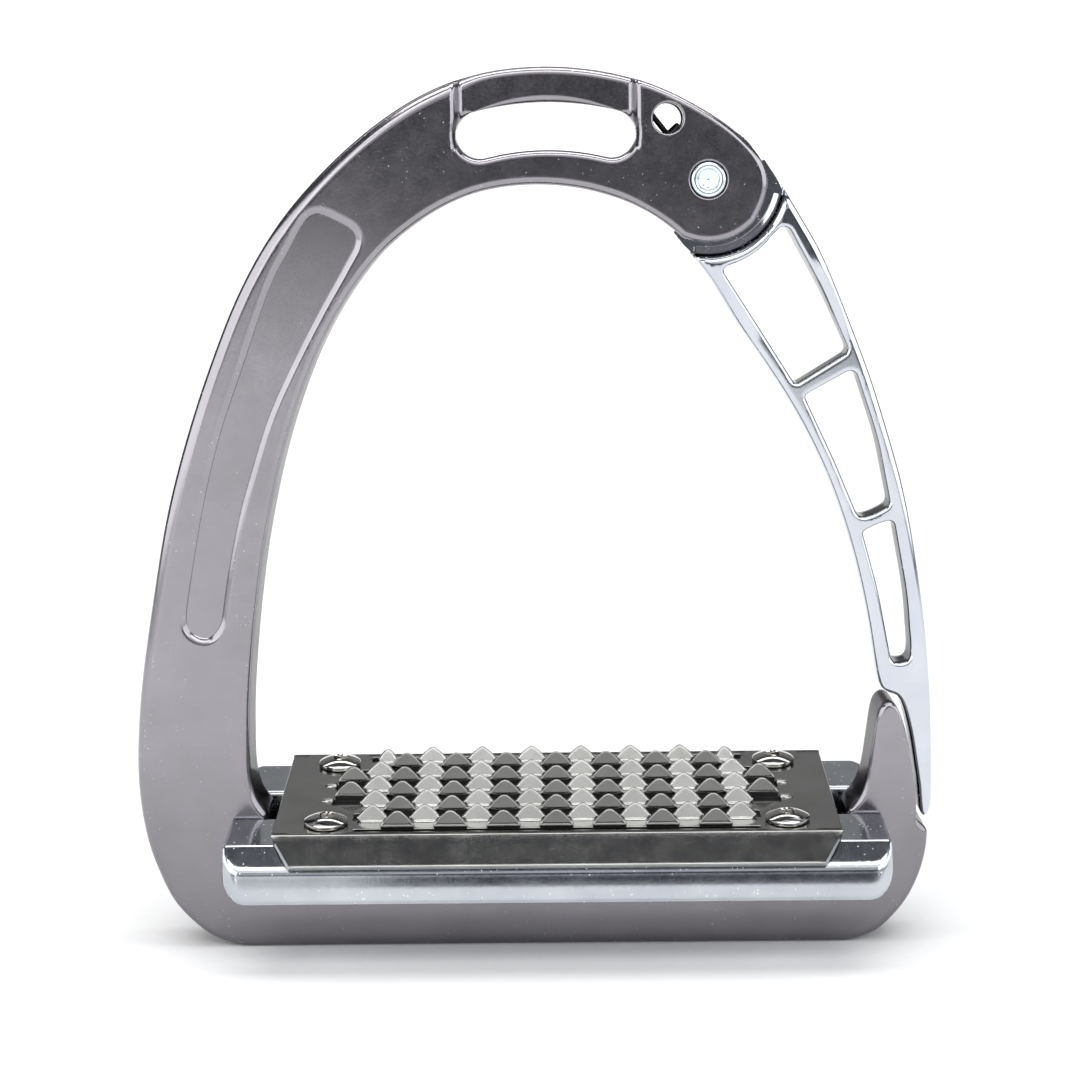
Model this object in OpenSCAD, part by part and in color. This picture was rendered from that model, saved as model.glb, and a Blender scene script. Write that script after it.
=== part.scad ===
// Safety stirrup iron: an open alloy frame, a sprung release arm hinged in a clevis at
// the top, and a tread made of a polished bed, an elastomer pad and a toothed grip plate.
// Millimetres. +Z up, X across the foot, the finger side of the frame at +X.
// Outlines are drawn in X and Z as seen from the front and extruded along Y.

/* [Frame] */
// Thickness of the frame along Y
frame_t = 13; // [12:0.5:15]
// Depth of the recess that the stirrup leather lies in, on each face
eye_recess = 2.5; // [1:0.1:3]
// Depth of the shallow pocket in the solid branch
pocket_depth = 0.8; // [0.3:0.1:1.2]
// Radius of the service hole over the spring's leg
service_r = 3.2; // [2:0.1:3.4]

/* [Pivot] */
// Radius of the clevis cheeks round the pivot
clevis_r = 11.8; // [11.5:0.1:12]
// Width of the slot between the cheeks
slot_w = 7.8; // [7.4:0.1:8]
// Radius of the barrel nut that the arm turns on
barrel_r = 2.5; // [2:0.05:2.6]
// Running clearance round the barrel
run_gap = 0.05; // [0.02:0.01:0.1]
// Diameter of the spring wire
wire_d = 1.1; // [0.8:0.05:1.1]

/* [Safety arm] */
// Thickness of the arm along Y below the shoulder
arm_t = 8; // [7:0.5:9]
// Thickness of the shoulder beside the clevis
shoulder_t = 12; // [9:0.5:13]
// Thickness of the tongue in the clevis
tongue_t = 7; // [6.6:0.1:7.2]

/* [Tread] */
// Forward and downward slope of the tread
tread_tilt = 6; // [0:0.5:8]
// Height of the bed's top over the middle of the frame
bed_top = 27.3; // [26:0.1:29]
// Width of the bed
bed_w = 128; // [124:1:130]
// Depth of the bed
bed_d = 50.4; // [48:0.2:54]
// Width of the grip plate
plate_w = 108.8; // [104:0.2:110]
// Depth of the grip plate between its two bends
plate_d = 44; // [42:0.5:46]
// Thickness of the grip plate's sheet
sheet = 1; // [0.8:0.1:1.2]
// Thickness of the pad between the bed and the plate
pad_t = 1.4; // [1:0.1:2]

/* [Teeth] */
// Distance between neighbouring teeth of one kind in a row
tooth_pitch = 10.15; // [9:0.05:11]
// Distance between rows
row_pitch = 8; // [7:0.1:8.2]
// Width of the strand that each row's teeth stand on
strand_w = 4.4; // [3.8:0.1:4.8]

/* [Hidden] */
$fn = 64;

pivot = [34.1, 149.6];        // X and Z of the pivot
service = [26.5, 161.1];      // X and Z of the service hole
slot_r = 14.7;                // reach of the clevis slot round the pivot
leg_slot_r = 4.1;             // reach of the slot round the service hole
shoulder_r = 14.2;            // concave end of the arm's shoulder
hub_r = 10.3;                 // tongue's knuckle, inside the cheeks' outline
bar_top = 14.2;               // top of the bar under the bed
tread_x = 4.2;                // middle of the tread
flange_r = 3.45;                // flange of the barrel nut
flange_seat = 1.1;            // depth of the seats for flange and screw head
pivot_head_r = 3.4;           // head of the pivot screw
pivot_thread_r = 1.5;
flange_recess_r = 1.95;       // stepped recess in the flange
coil_pocket_r = 6.4;          // room for the coil in the tongue
coil_r = 4.6;                 // mean radius of the coil
coil_half = 1.75;             // Y of the coil's two ends
fork_w = 4.9;                 // gap between the tongue's two lugs
waist_w = 107.6;              // bed between the two branches
bevel_v = 22.17;              // bed top's half depth, along the slope
flange_drop = 42;             // angle of the plate's flanges under its top
flange_len = 6.9;
screw_x = 44.4;               // grip screws from the tread's middle
screw_v = 16;
bed_screw_x = 30;
bed_screw_r = 2.5;
bed_screw_low = 5;            // tip of the bed's screws in the bar
cap_seat = 20.4;              // floor of the bed's counterbores
cap_r = 4.25;
grip_screw_r = 2;
washer_r = 8.5;

// ---------- curves ----------
function unit(v) = v / norm(v);

// points on an arc round c, from angle a0 to angle a1
function arc(c, r, a0, a1, n) =
    [for (i = [0:n]) let (a = a0 + (a1 - a0) * i / n) c + r * [cos(a), sin(a)]];

// a smooth open curve through the points p, with n steps between neighbours
function curve(p, n) = let (m = len(p) - 1) concat(
    [for (i = [0:m - 1], k = [0:n - 1])
        let (t = k / n, a = p[max(i - 1, 0)], b = p[i], c = p[i + 1], d = p[min(i + 2, m)])
        (2 * b + (c - a) * t + (2 * a - 5 * b + 4 * c - d) * t * t
         + (3 * b - a - 3 * c + d) * t * t * t) / 2],
    [p[m]]);

// a closed outline with the corner [x, z, radius] rounded off
function corner(a, p, b, r, n) =
    let (u = unit(a - p), v = unit(b - p), half = acos(u * v) / 2,
         c = p + unit(u + v) * r / sin(half), s = p + u * r / tan(half) - c,
         e = p + v * r / tan(half) - c, a0 = atan2(s[1], s[0]), d = atan2(e[1], e[0]) - a0,
         turn = d > 180 ? d - 360 : d < -180 ? d + 360 : d)
    arc(c, r, a0, a0 + turn, n);
function xz(p) = [p[0], p[1]];
function rounded(p, n = 5) = let (m = len(p))
    [for (i = [0:m - 1])
        each corner(xz(p[(i + m - 1) % m]), xz(p[i]), xz(p[(i + 1) % m]), p[i][2], n)];

// ---------- placing ----------
module along_y(y0, y1) {
    translate([0, y1, 0]) rotate([90, 0, 0]) linear_extrude(y1 - y0) children();
}
module along_x(x0, x1) {
    translate([x0, 0, 0]) rotate([90, 0, 90]) linear_extrude(x1 - x0) children();
}
module rod_y(c, r, y0, y1) {
    translate([c[0], y1, c[1]]) rotate([90, 0, 0]) cylinder(h = y1 - y0, r = r);
}
// the tread's own frame: origin in the middle of the bed's top, Z square to the tread
module on_tread() {
    translate([tread_x, 0, bed_top]) rotate([tread_tilt, 0, 0]) children();
}
module both_faces() {
    children();
    mirror([0, 1, 0]) children();
}

// ---------- frame ----------
branch_out = [[-56, 0], [-60.5, 0.6], [-66, 3.3], [-71.8, 9.5], [-75.7, 18], [-77.6, 27],
              [-78.1, 37.5], [-76.9, 52], [-74, 69.5], [-70.6, 86.5], [-66.3, 101.5],
              [-61, 116.3], [-55, 130], [-47.6, 142], [-38.3, 152.4], [-28, 161],
              [-18, 166.8], [-8, 170], [2.7, 171], [13, 170.2], [22.5, 167.8],
              [31.5, 163.7], [39, 159], [43.4, 154.7]];
branch_in = [[29.1, 138.9], [26.8, 140.9], [22.6, 143.7], [17.2, 146.2], [10, 148.2],
             [2.3, 149], [-5.5, 148.5], [-12.4, 146.7], [-20, 142.8], [-28, 136.4],
             [-35.2, 127.2], [-41.4, 115.8], [-46.9, 101], [-50.9, 85], [-53.6, 69],
             [-55.4, 52.5], [-55.9, 42], [-55.8, 34.5], [-54.7, 30], [-52.6, 27]];
finger = [[61.2, 26.7], [63.7, 29.4], [65.2, 33.6], [66.1, 39.5], [66.9, 45.3], [67.8, 47.6],
          [69.3, 48.4], [70.9, 47.3], [72, 44.6], [73, 40.6], [73.9, 35], [74.7, 29], [75, 25]];
heel = [[77.1, 22.3], [76.9, 18.8], [75.6, 13.6], [72.8, 7.9], [68, 2.6], [63, 0.4], [59, 0]];
frame_outline = concat(
    curve(branch_out, 4),
    arc(pivot, clevis_r, 12, -112, 16),
    curve(branch_in, 4),
    [[-50.4, bar_top], [58.6, bar_top]],
    curve(finger, 3),
    curve(heel, 4));
pocket_outline = concat(
    curve([[-63, 61.9], [-65.9, 62.8], [-67.5, 65.6], [-65.5, 78], [-62.9, 90.5],
           [-59.6, 102.5], [-55.2, 114.5], [-49.8, 129], [-44.4, 140], [-41.2, 144.1],
           [-38.6, 144.4]], 3),
    curve([[-34.6, 141.9], [-32.8, 138.9], [-34.9, 134.3], [-39.9, 125.8], [-45.3, 115.8],
           [-50.1, 105.8], [-53.8, 95], [-56.5, 86], [-58.9, 75], [-60.5, 65.2]], 3));
eye_mid = [3.5, 107.9];       // centre of the eye's arched slot
eye_r = 52;
eye_half = 4.85;              // half the slot's height
eye_reach = 12.5;             // slot's middle to the centre of each round end
seat_floor = 14.5;            // half width of the leather's seat at its floor
seat_face = 18.6;             // and where its sloping ends meet the face

module eye_slot() {
    a = asin(eye_reach / eye_r);
    along_y(-frame_t, frame_t) {
        intersection() {
            translate(eye_mid) difference() {
                circle(eye_r + eye_half, $fn = 200);
                circle(eye_r - eye_half, $fn = 200);
            }
            polygon([eye_mid, eye_mid + 2 * eye_r * [-sin(a), cos(a)],
                     eye_mid + 2 * eye_r * [sin(a), cos(a)]]);
        }
        for (s = [-1, 1]) translate(eye_mid + eye_r * [s * sin(a), cos(a)]) circle(eye_half);
    }
}
// the leather's seat: sloping ends, from the middle of the slot up over the outer edge
module eye_seat() {
    y = -frame_t / 2;
    translate([eye_mid[0], 0, eye_mid[1] + eye_r - 1.6]) linear_extrude(20)
        polygon([[-seat_face, y - 1], [seat_face, y - 1], [seat_face, y],
                 [seat_floor, y + eye_recess], [-seat_floor, y + eye_recess],
                 [-seat_face, y]]);
}
module clevis_slot() {
    h = slot_w / 2;
    rod_y(pivot, slot_r, -h, h);
    rod_y(service, leg_slot_r, -h, h);
    translate([pivot[0], -h, pivot[1] - slot_r]) cube([20, slot_w, 2 * slot_r]);
}
module frame() {
    half = frame_t / 2;
    color("#8d8890") difference() {
        along_y(-half, half) polygon(frame_outline);
        eye_slot();
        both_faces() eye_seat();
        both_faces() along_y(-half - 1, pocket_depth - half) polygon(pocket_outline);
        clevis_slot();
        rod_y(service, service_r, -frame_t, frame_t);
        rod_y(pivot, barrel_r + run_gap, -frame_t, frame_t);
        both_faces() rod_y(pivot, flange_r + run_gap, -frame_t, flange_seat - half);
        for (s = [-1, 1]) translate([tread_x + s * bed_screw_x, 0, bed_screw_low - 1])
            cylinder(h = bar_top, r = bed_screw_r + run_gap);
    }
}

// ---------- safety arm ----------
arm_out = [[48.7, 147.3], [52, 141.8], [55.8, 135], [61, 123], [65.3, 111.8], [68.9, 100.5],
           [71.6, 91], [73.6, 81.5], [75.5, 70], [77, 57.5], [77.8, 44.5], [78.1, 29.5],
           [77.7, 26], [76.9, 24.9], [76.1, 25.5], [75.8, 27.2]];
arm_in = [[75.4, 31.5], [74.6, 36.8], [73.7, 42], [72.4, 47], [71.2, 49.1], [69.6, 49.8],
          [68.2, 50.7], [67.4, 52.4], [66.6, 56.5], [65.2, 65], [63, 75], [60.3, 84.3],
          [57.3, 92.4], [53.7, 100.2], [49.6, 107.6], [44.7, 115.2], [39.6, 122.6],
          [34.3, 131.2], [30.4, 136.1]];
arm_outline = concat(
    curve(arm_out, 4),
    curve(arm_in, 4),
    arc(pivot, shoulder_r, -105, -6, 24));
tongue_outline = concat(
    [[44.8, 153.2], [47.7, 148.6]],
    arc(pivot, shoulder_r + 0.6, -12, -98, 12),
    [[30.2, 136.6], [27.6, 139.7]],
    [pivot]);
windows = [
    [[36.5, 132.9, 1.1], [42.7, 135.1, 14], [48.7, 141.7, 1.6], [55.9, 128.4, 60],
     [61.2, 116.7, 1.4], [50.9, 110.4, 0.9], [44.7, 120.2, 60]],
    [[52.6, 108.3, 0.9], [62.2, 113.6, 1.5], [66.8, 99.8, 60], [69.4, 86.7, 1.6],
     [63.4, 84, 1.8], [58.7, 95.2, 60]],
    [[64, 81.8, 0.9], [70, 84.3, 1.3], [73, 68, 80], [73.7, 55.6, 1.7], [70, 55.8, 1.5],
     [67.2, 70.2, 80]]];
spring_in = 225;              // angle where the arm's leg meets the coil
leg_len = 15;

// what is cut from the front to thin the arm below its shoulder
module arm_relief() {
    a = arm_t / 2;
    thin_z = 122;
    run = 20;
    rise = run * (shoulder_t / 2 - a) / 12;
    along_x(20, 100) polygon([[-a, 10], [-a, thin_z], [-a - rise, thin_z + run],
                              [-20, thin_z + run], [-20, 10]]);
}
module fork_gap() {
    h = fork_w / 2;
    sweep_out = hub_r + 2;
    rod_y(pivot, coil_pocket_r, -h, h);
    along_y(-h, h) polygon(concat([pivot], arc(pivot, sweep_out, 25, 200, 14)));
}
module safety_arm() {
    t = tongue_t / 2;
    leg = unit([1, -1]);
    start = pivot + coil_r * [cos(spring_in), sin(spring_in)];
    color("#e4e9f2") difference() {
        union() {
            difference() {
                along_y(-shoulder_t / 2, shoulder_t / 2) difference() {
                    polygon(arm_outline);
                    for (w = windows) polygon(rounded(w));
                }
                both_faces() arm_relief();
            }
            along_y(-t, t) polygon(tongue_outline);
            rod_y(pivot, hub_r, -t, t);
        }
        fork_gap();
        rod_y(pivot, barrel_r + run_gap, -frame_t, frame_t);
        translate([start[0], -coil_half, start[1]]) rotate([0, 135, 0])
            cylinder(h = leg_len + 0.5, r = wire_d / 2 + 0.1, $fn = 24);
    }
}

// ---------- pivot ----------
module pivot_sleeve() {
    face = -frame_t / 2 - 0.2;
    seat = flange_seat - frame_t / 2;
    back = frame_t / 2 - flange_seat - 0.1;
    color("#dfe8f0") difference() {
        union() {
            rod_y(pivot, flange_r, face, seat);
            rod_y(pivot, barrel_r, seat, back);
        }
        rod_y(pivot, flange_recess_r, face - 1, face + 1);
        rod_y(pivot, 1.3, face - 1, face + 2.2);
        rod_y(pivot, pivot_thread_r + run_gap, -3.2, back + 1);
    }
}
module pivot_screw() {
    seat = frame_t / 2 - flange_seat;
    color("#cfd6dc") difference() {
        union() {
            rod_y(pivot, pivot_head_r, seat, seat + 1.2);
            rod_y(pivot, pivot_thread_r, -3, seat);
        }
        translate([pivot[0], seat + 2, pivot[1]]) rotate([90, 0, 0])
            cylinder(h = 1.6, r = 1.15, $fn = 6);
    }
}
module thrust_washer_front() {
    color("#20242a") difference() {
        rod_y(pivot, washer_r, -tongue_t / 2 - 0.35, -tongue_t / 2 - 0.05);
        rod_y(pivot, barrel_r + 0.1, -frame_t, frame_t);
    }
}
module thrust_washer_rear() {
    mirror([0, 1, 0]) thrust_washer_front();
}

// ---------- spring ----------
turns = 3;
// where the frame's leg leaves the coil, bends down and hooks up behind the service hole
spring_out = 184.9;
hook = [[28.6, 1.75, 159.9], [26.6, -0.6, 158.1], [23.3, -0.6, 162.25]];

function on_coil(a, y) = [pivot[0] + coil_r * cos(a), y, pivot[1] + coil_r * sin(a)];
function mix(a, b, t) = a + (b - a) * t;
spring_path = let (
        sweep = spring_in - spring_out + 360 * turns,
        steps = 16 * turns,
        s = on_coil(spring_in, -coil_half),
        e = on_coil(spring_out, coil_half))
    concat(
        [s + leg_len * [unit([1, -1])[0], 0, unit([1, -1])[1]],
         s + 3 * [unit([1, -1])[0], 0, unit([1, -1])[1]]],
        [for (i = [0:steps])
            on_coil(spring_in - sweep * i / steps, mix(-coil_half, coil_half, i / steps))],
        [mix(e, hook[0], 0.3), mix(e, hook[0], 0.9),
         mix(hook[0], hook[1], 0.12), mix(hook[0], hook[1], 0.88),
         mix(hook[1], hook[2], 0.1), hook[2]]);
function tangents(p) = let (m = len(p) - 1)
    [for (i = [0:m]) unit(p[min(i + 1, m)] - p[max(i - 1, 0)])];
// carry the first ring's normal along the path without twisting it
function normals(t, i, n) = i == len(t) ? [] :
    let (k = unit(n - (n * t[i]) * t[i])) concat([k], normals(t, i + 1, k));
module wire(p, r, sides) {
    t = tangents(p);
    n = normals(t, 0, [0, 1, 0]);
    m = len(p);
    points = [for (i = [0:m - 1], k = [0:sides - 1])
        let (a = 360 * k / sides) p[i] + r * (cos(a) * n[i] + sin(a) * cross(t[i], n[i]))];
    walls = [for (i = [0:m - 2], k = [0:sides - 1])
        let (a = i * sides + k, b = i * sides + (k + 1) % sides)
        [b, a, a + sides, b + sides]];
    ends = [[for (k = [0:sides - 1]) k],
            [for (k = [sides - 1:-1:0]) (m - 1) * sides + k]];
    polyhedron(points, concat(walls, ends));
}
module torsion_spring() {
    color("#1b1c1e") wire(spring_path, wire_d / 2, 8);
}

// ---------- tread ----------
bed_half = bed_d / 2;
top_edge = bevel_v * [cos(tread_tilt), sin(tread_tilt)];
front_slope = tan(flange_drop + tread_tilt);
rear_slope = tan(flange_drop - tread_tilt);
bed_side = [[-bed_half, bar_top], [bed_half, bar_top],
            [bed_half, bed_top + top_edge[1] - (bed_half - top_edge[0]) * rear_slope],
            [top_edge[0], bed_top + top_edge[1]], [-top_edge[0], bed_top - top_edge[1]],
            [-bed_half, bed_top - top_edge[1] - (bed_half - top_edge[0]) * front_slope]];
bed_front = let (w = bed_w / 2, h = 40)
    rounded([[-w, h, 1], [-w, bar_top, 5], [w, bar_top, 5], [w, h, 1]], 8);
bed_plan = let (w = bed_w / 2, n = waist_w / 2, y = frame_t / 2 + 0.1, d = bed_half)
    rounded([[-w, -d, 4], [w, -d, 4], [w, -y, 0.8], [n, -y, 1], [n, y, 1], [w, y, 0.8],
             [w, d, 8], [-w, d, 8], [-w, y, 0.8], [-n, y, 1], [-n, -y, 1], [-w, -y, 0.8]], 6);

module grip_screw_places() {
    for (x = [-screw_x, screw_x], v = [-screw_v, screw_v]) translate([x, v, 0]) children();
}
module tread_bed() {
    color("#c9d2da") difference() {
        intersection() {
            along_x(-80, 80) polygon(bed_side);
            translate([tread_x, 0, 0]) along_y(-40, 40) polygon(bed_front);
            translate([tread_x, 0, 0]) linear_extrude(50) polygon(bed_plan);
        }
        on_tread() grip_screw_places() translate([0, 0, -8]) cylinder(h = 20, r = grip_screw_r + run_gap);
        for (s = [-1, 1]) translate([tread_x + s * bed_screw_x, 0, 0]) {
            cylinder(h = 40, r = bed_screw_r + 0.2);
            translate([0, 0, cap_seat]) cylinder(h = 20, r = cap_r + 0.35);
        }
    }
}
module bed_screw(side) {
    color("#a9adb2") translate([tread_x + side * bed_screw_x, 0, 0]) difference() {
        union() {
            translate([0, 0, cap_seat]) cylinder(h = 5, r = cap_r);
            translate([0, 0, bed_screw_low]) cylinder(h = cap_seat - bed_screw_low, r = bed_screw_r);
        }
        translate([0, 0, cap_seat + 2.4]) cylinder(h = 5, r = 2.3, $fn = 6);
    }
}
module bed_screw_left() {
    bed_screw(-1);
}
module bed_screw_right() {
    bed_screw(1);
}
module grip_pad() {
    w = plate_w - 4;
    d = plate_d - 2;
    color("#141516") on_tread() difference() {
        translate([-w / 2, -d / 2, 0]) cube([w, d, pad_t]);
        grip_screw_places() translate([0, 0, -1]) cylinder(h = 4, r = grip_screw_r + 0.3);
    }
}

// ---------- grip plate ----------
rows = 5;
first_row = -17;
plate_top = pad_t + sheet;
tooth_root = 0.6;             // how far a tooth reaches down into its strand
rear_tooth = [[-3, -tooth_root], [3, -tooth_root], [3, 0.2], [1.35, 2.3], [0.8, 2.65],
              [-0.8, 2.65], [-1.35, 2.3], [-3, 0.2]];
front_tooth = [[-3.3, -tooth_root], [3.3, -tooth_root], [3.3, 0], [1.5, 2.7], [0.8, 3.15],
               [-0.8, 3.15], [-1.5, 2.7], [-3.3, 0]];

function row_v(k) = first_row + row_pitch * k;
// slits in front of each strand and behind the last, as [low, high, half length]
slits = concat(
    [[row_v(0) - strand_w / 2 - 1.2, row_v(0) - strand_w / 2, 39]],
    [for (k = [0:rows - 2])
        [row_v(k) + strand_w / 2, row_v(k + 1) - strand_w / 2, k == 1 || k == 2 ? 44 : 39.4]],
    [[row_v(rows - 1) + strand_w / 2, row_v(rows - 1) + strand_w / 2 + 2.8, 38]]);

module plate_profile() {
    d = plate_d / 2;
    reach = flange_len * [cos(flange_drop), sin(flange_drop)];
    inner = sheet * tan(flange_drop / 2);
    lip = sheet * [sin(flange_drop), cos(flange_drop)];
    half = [[0, plate_top], [d, plate_top], [d + reach[0], plate_top - reach[1]],
            [d + reach[0] - lip[0], plate_top - reach[1] - lip[1]],
            [d - inner, plate_top - sheet], [0, plate_top - sheet]];
    polygon(half);
    mirror([1, 0]) polygon(half);
}
module tooth(shape, lean) {
    t = 0.9;
    rotate([lean, 0, 0]) translate([0, t / 2, 0]) rotate([90, 0, 0]) linear_extrude(t)
        polygon(shape);
}
module row_teeth(k) {
    edge = strand_w / 2 - 0.45;
    for (i = [-3.5:3.5]) if (k < rows - 1 || abs(i) < 3) {
        translate([i * tooth_pitch, row_v(k) + edge, plate_top]) tooth(rear_tooth, -28);
    }
    if (k == rows - 1) for (s = [-1, 1])
        translate([s * 3.4 * tooth_pitch, row_v(k) + edge, plate_top])
            intersection() {
                tooth(rear_tooth, -28);
                translate([-2, -4, -2]) cube([4, 8, 8]);
            }
    last = k == 2 || k == 3 ? 4 : 3;
    for (i = [-last:last])
        translate([i * tooth_pitch, row_v(k) - edge, plate_top]) tooth(front_tooth, 12);
}
module grip_plate() {
    w = plate_w / 2;
    d = plate_d / 2;
    reach = flange_len * cos(flange_drop);
    color("#6d6c68") on_tread() {
        difference() {
            intersection() {
                along_x(-w, w) plate_profile();
                translate([0, 0, -10]) linear_extrude(20)
                    polygon([[-w, -d], [4 - w, -d - reach - 0.01], [w - 4, -d - reach - 0.01],
                             [w, -d], [w, d], [w - 4, d + reach + 0.01],
                             [4 - w, d + reach + 0.01], [-w, d]]);
            }
            for (s = slits) translate([-s[2], s[0], 0]) cube([2 * s[2], s[1] - s[0], 10]);
            grip_screw_places() cylinder(h = 10, r = grip_screw_r + 0.2);
        }
        for (k = [0:rows - 1]) row_teeth(k);
    }
}
module grip_screw(x, v) {
    r = 4.3;
    h = 1.9;
    round_r = (r * r + h * h) / (2 * h);
    color("#d5d3cf") on_tread() translate([x, v, plate_top]) difference() {
        union() {
            intersection() {
                translate([0, 0, h - round_r]) sphere(round_r);
                cylinder(h = 5, r = r);
            }
            translate([0, 0, -8]) cylinder(h = 8.5, r = grip_screw_r);
        }
        translate([0, 0, 0.7]) cylinder(h = 3, r = 1.45, $fn = 6);
    }
}
module grip_screw_front_left() {
    grip_screw(-screw_x, -screw_v);
}
module grip_screw_front_right() {
    grip_screw(screw_x, -screw_v);
}
module grip_screw_rear_left() {
    grip_screw(-screw_x, screw_v);
}
module grip_screw_rear_right() {
    grip_screw(screw_x, screw_v);
}

frame();
safety_arm();
pivot_sleeve();
pivot_screw();
torsion_spring();
thrust_washer_front();
thrust_washer_rear();
tread_bed();
bed_screw_left();
bed_screw_right();
grip_pad();
grip_plate();
grip_screw_front_left();
grip_screw_front_right();
grip_screw_rear_left();
grip_screw_rear_right();
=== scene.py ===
"""Looks for the safety stirrup iron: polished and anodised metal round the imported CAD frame."""

import math

import bmesh
import bpy
import numpy as np
from mathutils import Matrix, Vector
from mathutils.geometry import delaunay_2d_cdt


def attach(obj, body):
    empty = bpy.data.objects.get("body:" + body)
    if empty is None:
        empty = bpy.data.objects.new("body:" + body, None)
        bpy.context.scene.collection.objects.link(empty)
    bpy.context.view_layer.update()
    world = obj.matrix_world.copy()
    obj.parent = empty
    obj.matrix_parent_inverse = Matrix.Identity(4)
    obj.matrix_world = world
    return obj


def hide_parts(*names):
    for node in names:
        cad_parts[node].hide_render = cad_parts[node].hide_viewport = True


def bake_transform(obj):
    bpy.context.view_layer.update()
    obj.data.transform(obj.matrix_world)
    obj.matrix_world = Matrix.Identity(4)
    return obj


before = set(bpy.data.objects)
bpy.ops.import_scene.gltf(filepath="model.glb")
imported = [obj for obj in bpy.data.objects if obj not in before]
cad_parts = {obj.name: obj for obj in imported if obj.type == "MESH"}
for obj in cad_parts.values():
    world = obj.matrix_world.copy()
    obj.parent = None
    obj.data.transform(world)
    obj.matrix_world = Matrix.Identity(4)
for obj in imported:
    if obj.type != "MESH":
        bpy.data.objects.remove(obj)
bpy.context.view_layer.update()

MM = 0.001
PIVOT = np.array([34.1, 149.6])       # X and Z, in millimetres
EYE = np.array([3.5, 107.9])          # centre of the eye's arched slot
EYE_R = 52.0                          # middle radius of that slot's arch
EYE_SLOT = (3.5, 157.5)               # middle of the slot itself
SERVICE = (26.5, 161.1)               # centre of the spring's service hole
CLEVIS_HALF = 3.9                     # clevis slot either side of Y = 0
TREAD = (4.2, 0.0, 27.3)              # the tread's own origin
TILT = math.radians(6.0)
PLATE_TOP = 2.4                       # over the bed, in the tread's own frame
SHEET = 1.0                           # thickness of the grip plate's sheet
MIDDLE = 0.013                        # cuts stand just off the middle plane, clear of its points


# ---------- outlines taken from the CAD ----------
def triangles(node):
    """The triangles of a CAD node, in millimetres."""
    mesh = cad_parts[node].data
    mesh.calc_loop_triangles()
    co = np.empty(len(mesh.vertices) * 3)
    mesh.vertices.foreach_get("co", co)
    index = np.empty(len(mesh.loop_triangles) * 3, int)
    mesh.loop_triangles.foreach_get("vertices", index)
    return co.reshape(-1, 3)[index].reshape(-1, 3, 3) / MM


def crossing(tri, d, i, j, other):
    """Where the edge from corner i to corner j of a triangle meets the cutting plane."""
    a, b = (i, j) if tuple(tri[i]) < tuple(tri[j]) else (j, i)
    p = tri[a] + d[a] / (d[a] - d[b]) * (tri[b] - tri[a])
    return round(p[0], 3), round(p[other], 3)


def chain(links):
    """Closed outlines from a table of point to neighbouring points."""
    loops, left = [], set(links)
    while left:
        start = left.pop()
        loop, last, here = [start], None, start
        while True:
            ahead = [p for p in links[here] if p != last and p in left]
            if not ahead:
                break
            last, here = here, ahead[0]
            left.discard(here)
            loop.append(here)
        if len(loop) > 5:
            loops.append(np.array(loop, float))
    return loops


def area(loop):
    """Signed area of an outline: above zero when it runs anticlockwise."""
    x, z = loop[:, 0], loop[:, 1]
    return 0.5 * float(np.sum(x * np.roll(z, -1) - z * np.roll(x, -1)))


def tidy(loop, near=0.03, straight=0.02):
    """Drop points that stand too close together or on a straight line."""
    keep = [p for p, q in zip(loop, np.roll(loop, 1, 0)) if np.hypot(*(p - q)) > near]
    loop = np.array(keep)
    while True:
        a, b = np.roll(loop, 1, 0), np.roll(loop, -1, 0)
        d = b - a
        off = np.abs(d[:, 0] * (loop - a)[:, 1] - d[:, 1] * (loop - a)[:, 0])
        flat = off / np.maximum(np.hypot(*d.T), 1e-9) < straight * 0.1
        flat &= ~np.roll(flat, 1)
        if not flat.any():
            return loop
        loop = loop[~flat]


def cut(node, at, axis=1):
    """Outlines where the plane Y = at (or Z = at, axis 2) cuts a CAD node, metal on the left."""
    links = {}
    for tri in triangles(node):
        d = tri[:, axis] - at
        up = d > 0
        if up.all() or not up.any():
            continue
        ends = [crossing(tri, d, i, j, 3 - axis)
                for i, j in ((0, 1), (1, 2), (2, 0)) if up[i] != up[j]]
        if ends[0] != ends[1]:
            links.setdefault(ends[0], []).append(ends[1])
            links.setdefault(ends[1], []).append(ends[0])
    loops = sorted((tidy(c) for c in chain(links)), key=lambda c: -abs(area(c)))
    out = []
    for i, c in enumerate(loops):
        hole = sum(bool(inside(c[:1], [o])[0]) for o in loops[:i]) % 2
        out.append(c if (area(c) > 0) != bool(hole) else c[::-1])
    return out


def inside(points, loops):
    """Which points lie within the outlines, by the even and odd rule."""
    within = np.zeros(len(points), bool)
    for c in loops:
        a, b = c, np.roll(c, -1, 0)
        for p, q in zip(a, b):
            if p[1] == q[1]:
                continue
            span = (points[:, 1] >= min(p[1], q[1])) & (points[:, 1] < max(p[1], q[1]))
            x = p[0] + (points[:, 1] - p[1]) * (q[0] - p[0]) / (q[1] - p[1])
            within ^= span & (points[:, 0] < x)
    return within


def nearest(loops, point):
    """The outline whose middle is nearest to a point."""
    return min(loops, key=lambda c: float(np.hypot(*(c.mean(0) - point))))


def turning(loop):
    """Angle that an outline turns through at each point."""
    a = loop - np.roll(loop, 1, 0)
    b = np.roll(loop, -1, 0) - loop
    return np.arctan2(a[:, 0] * b[:, 1] - a[:, 1] * b[:, 0], (a * b).sum(1))


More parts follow.
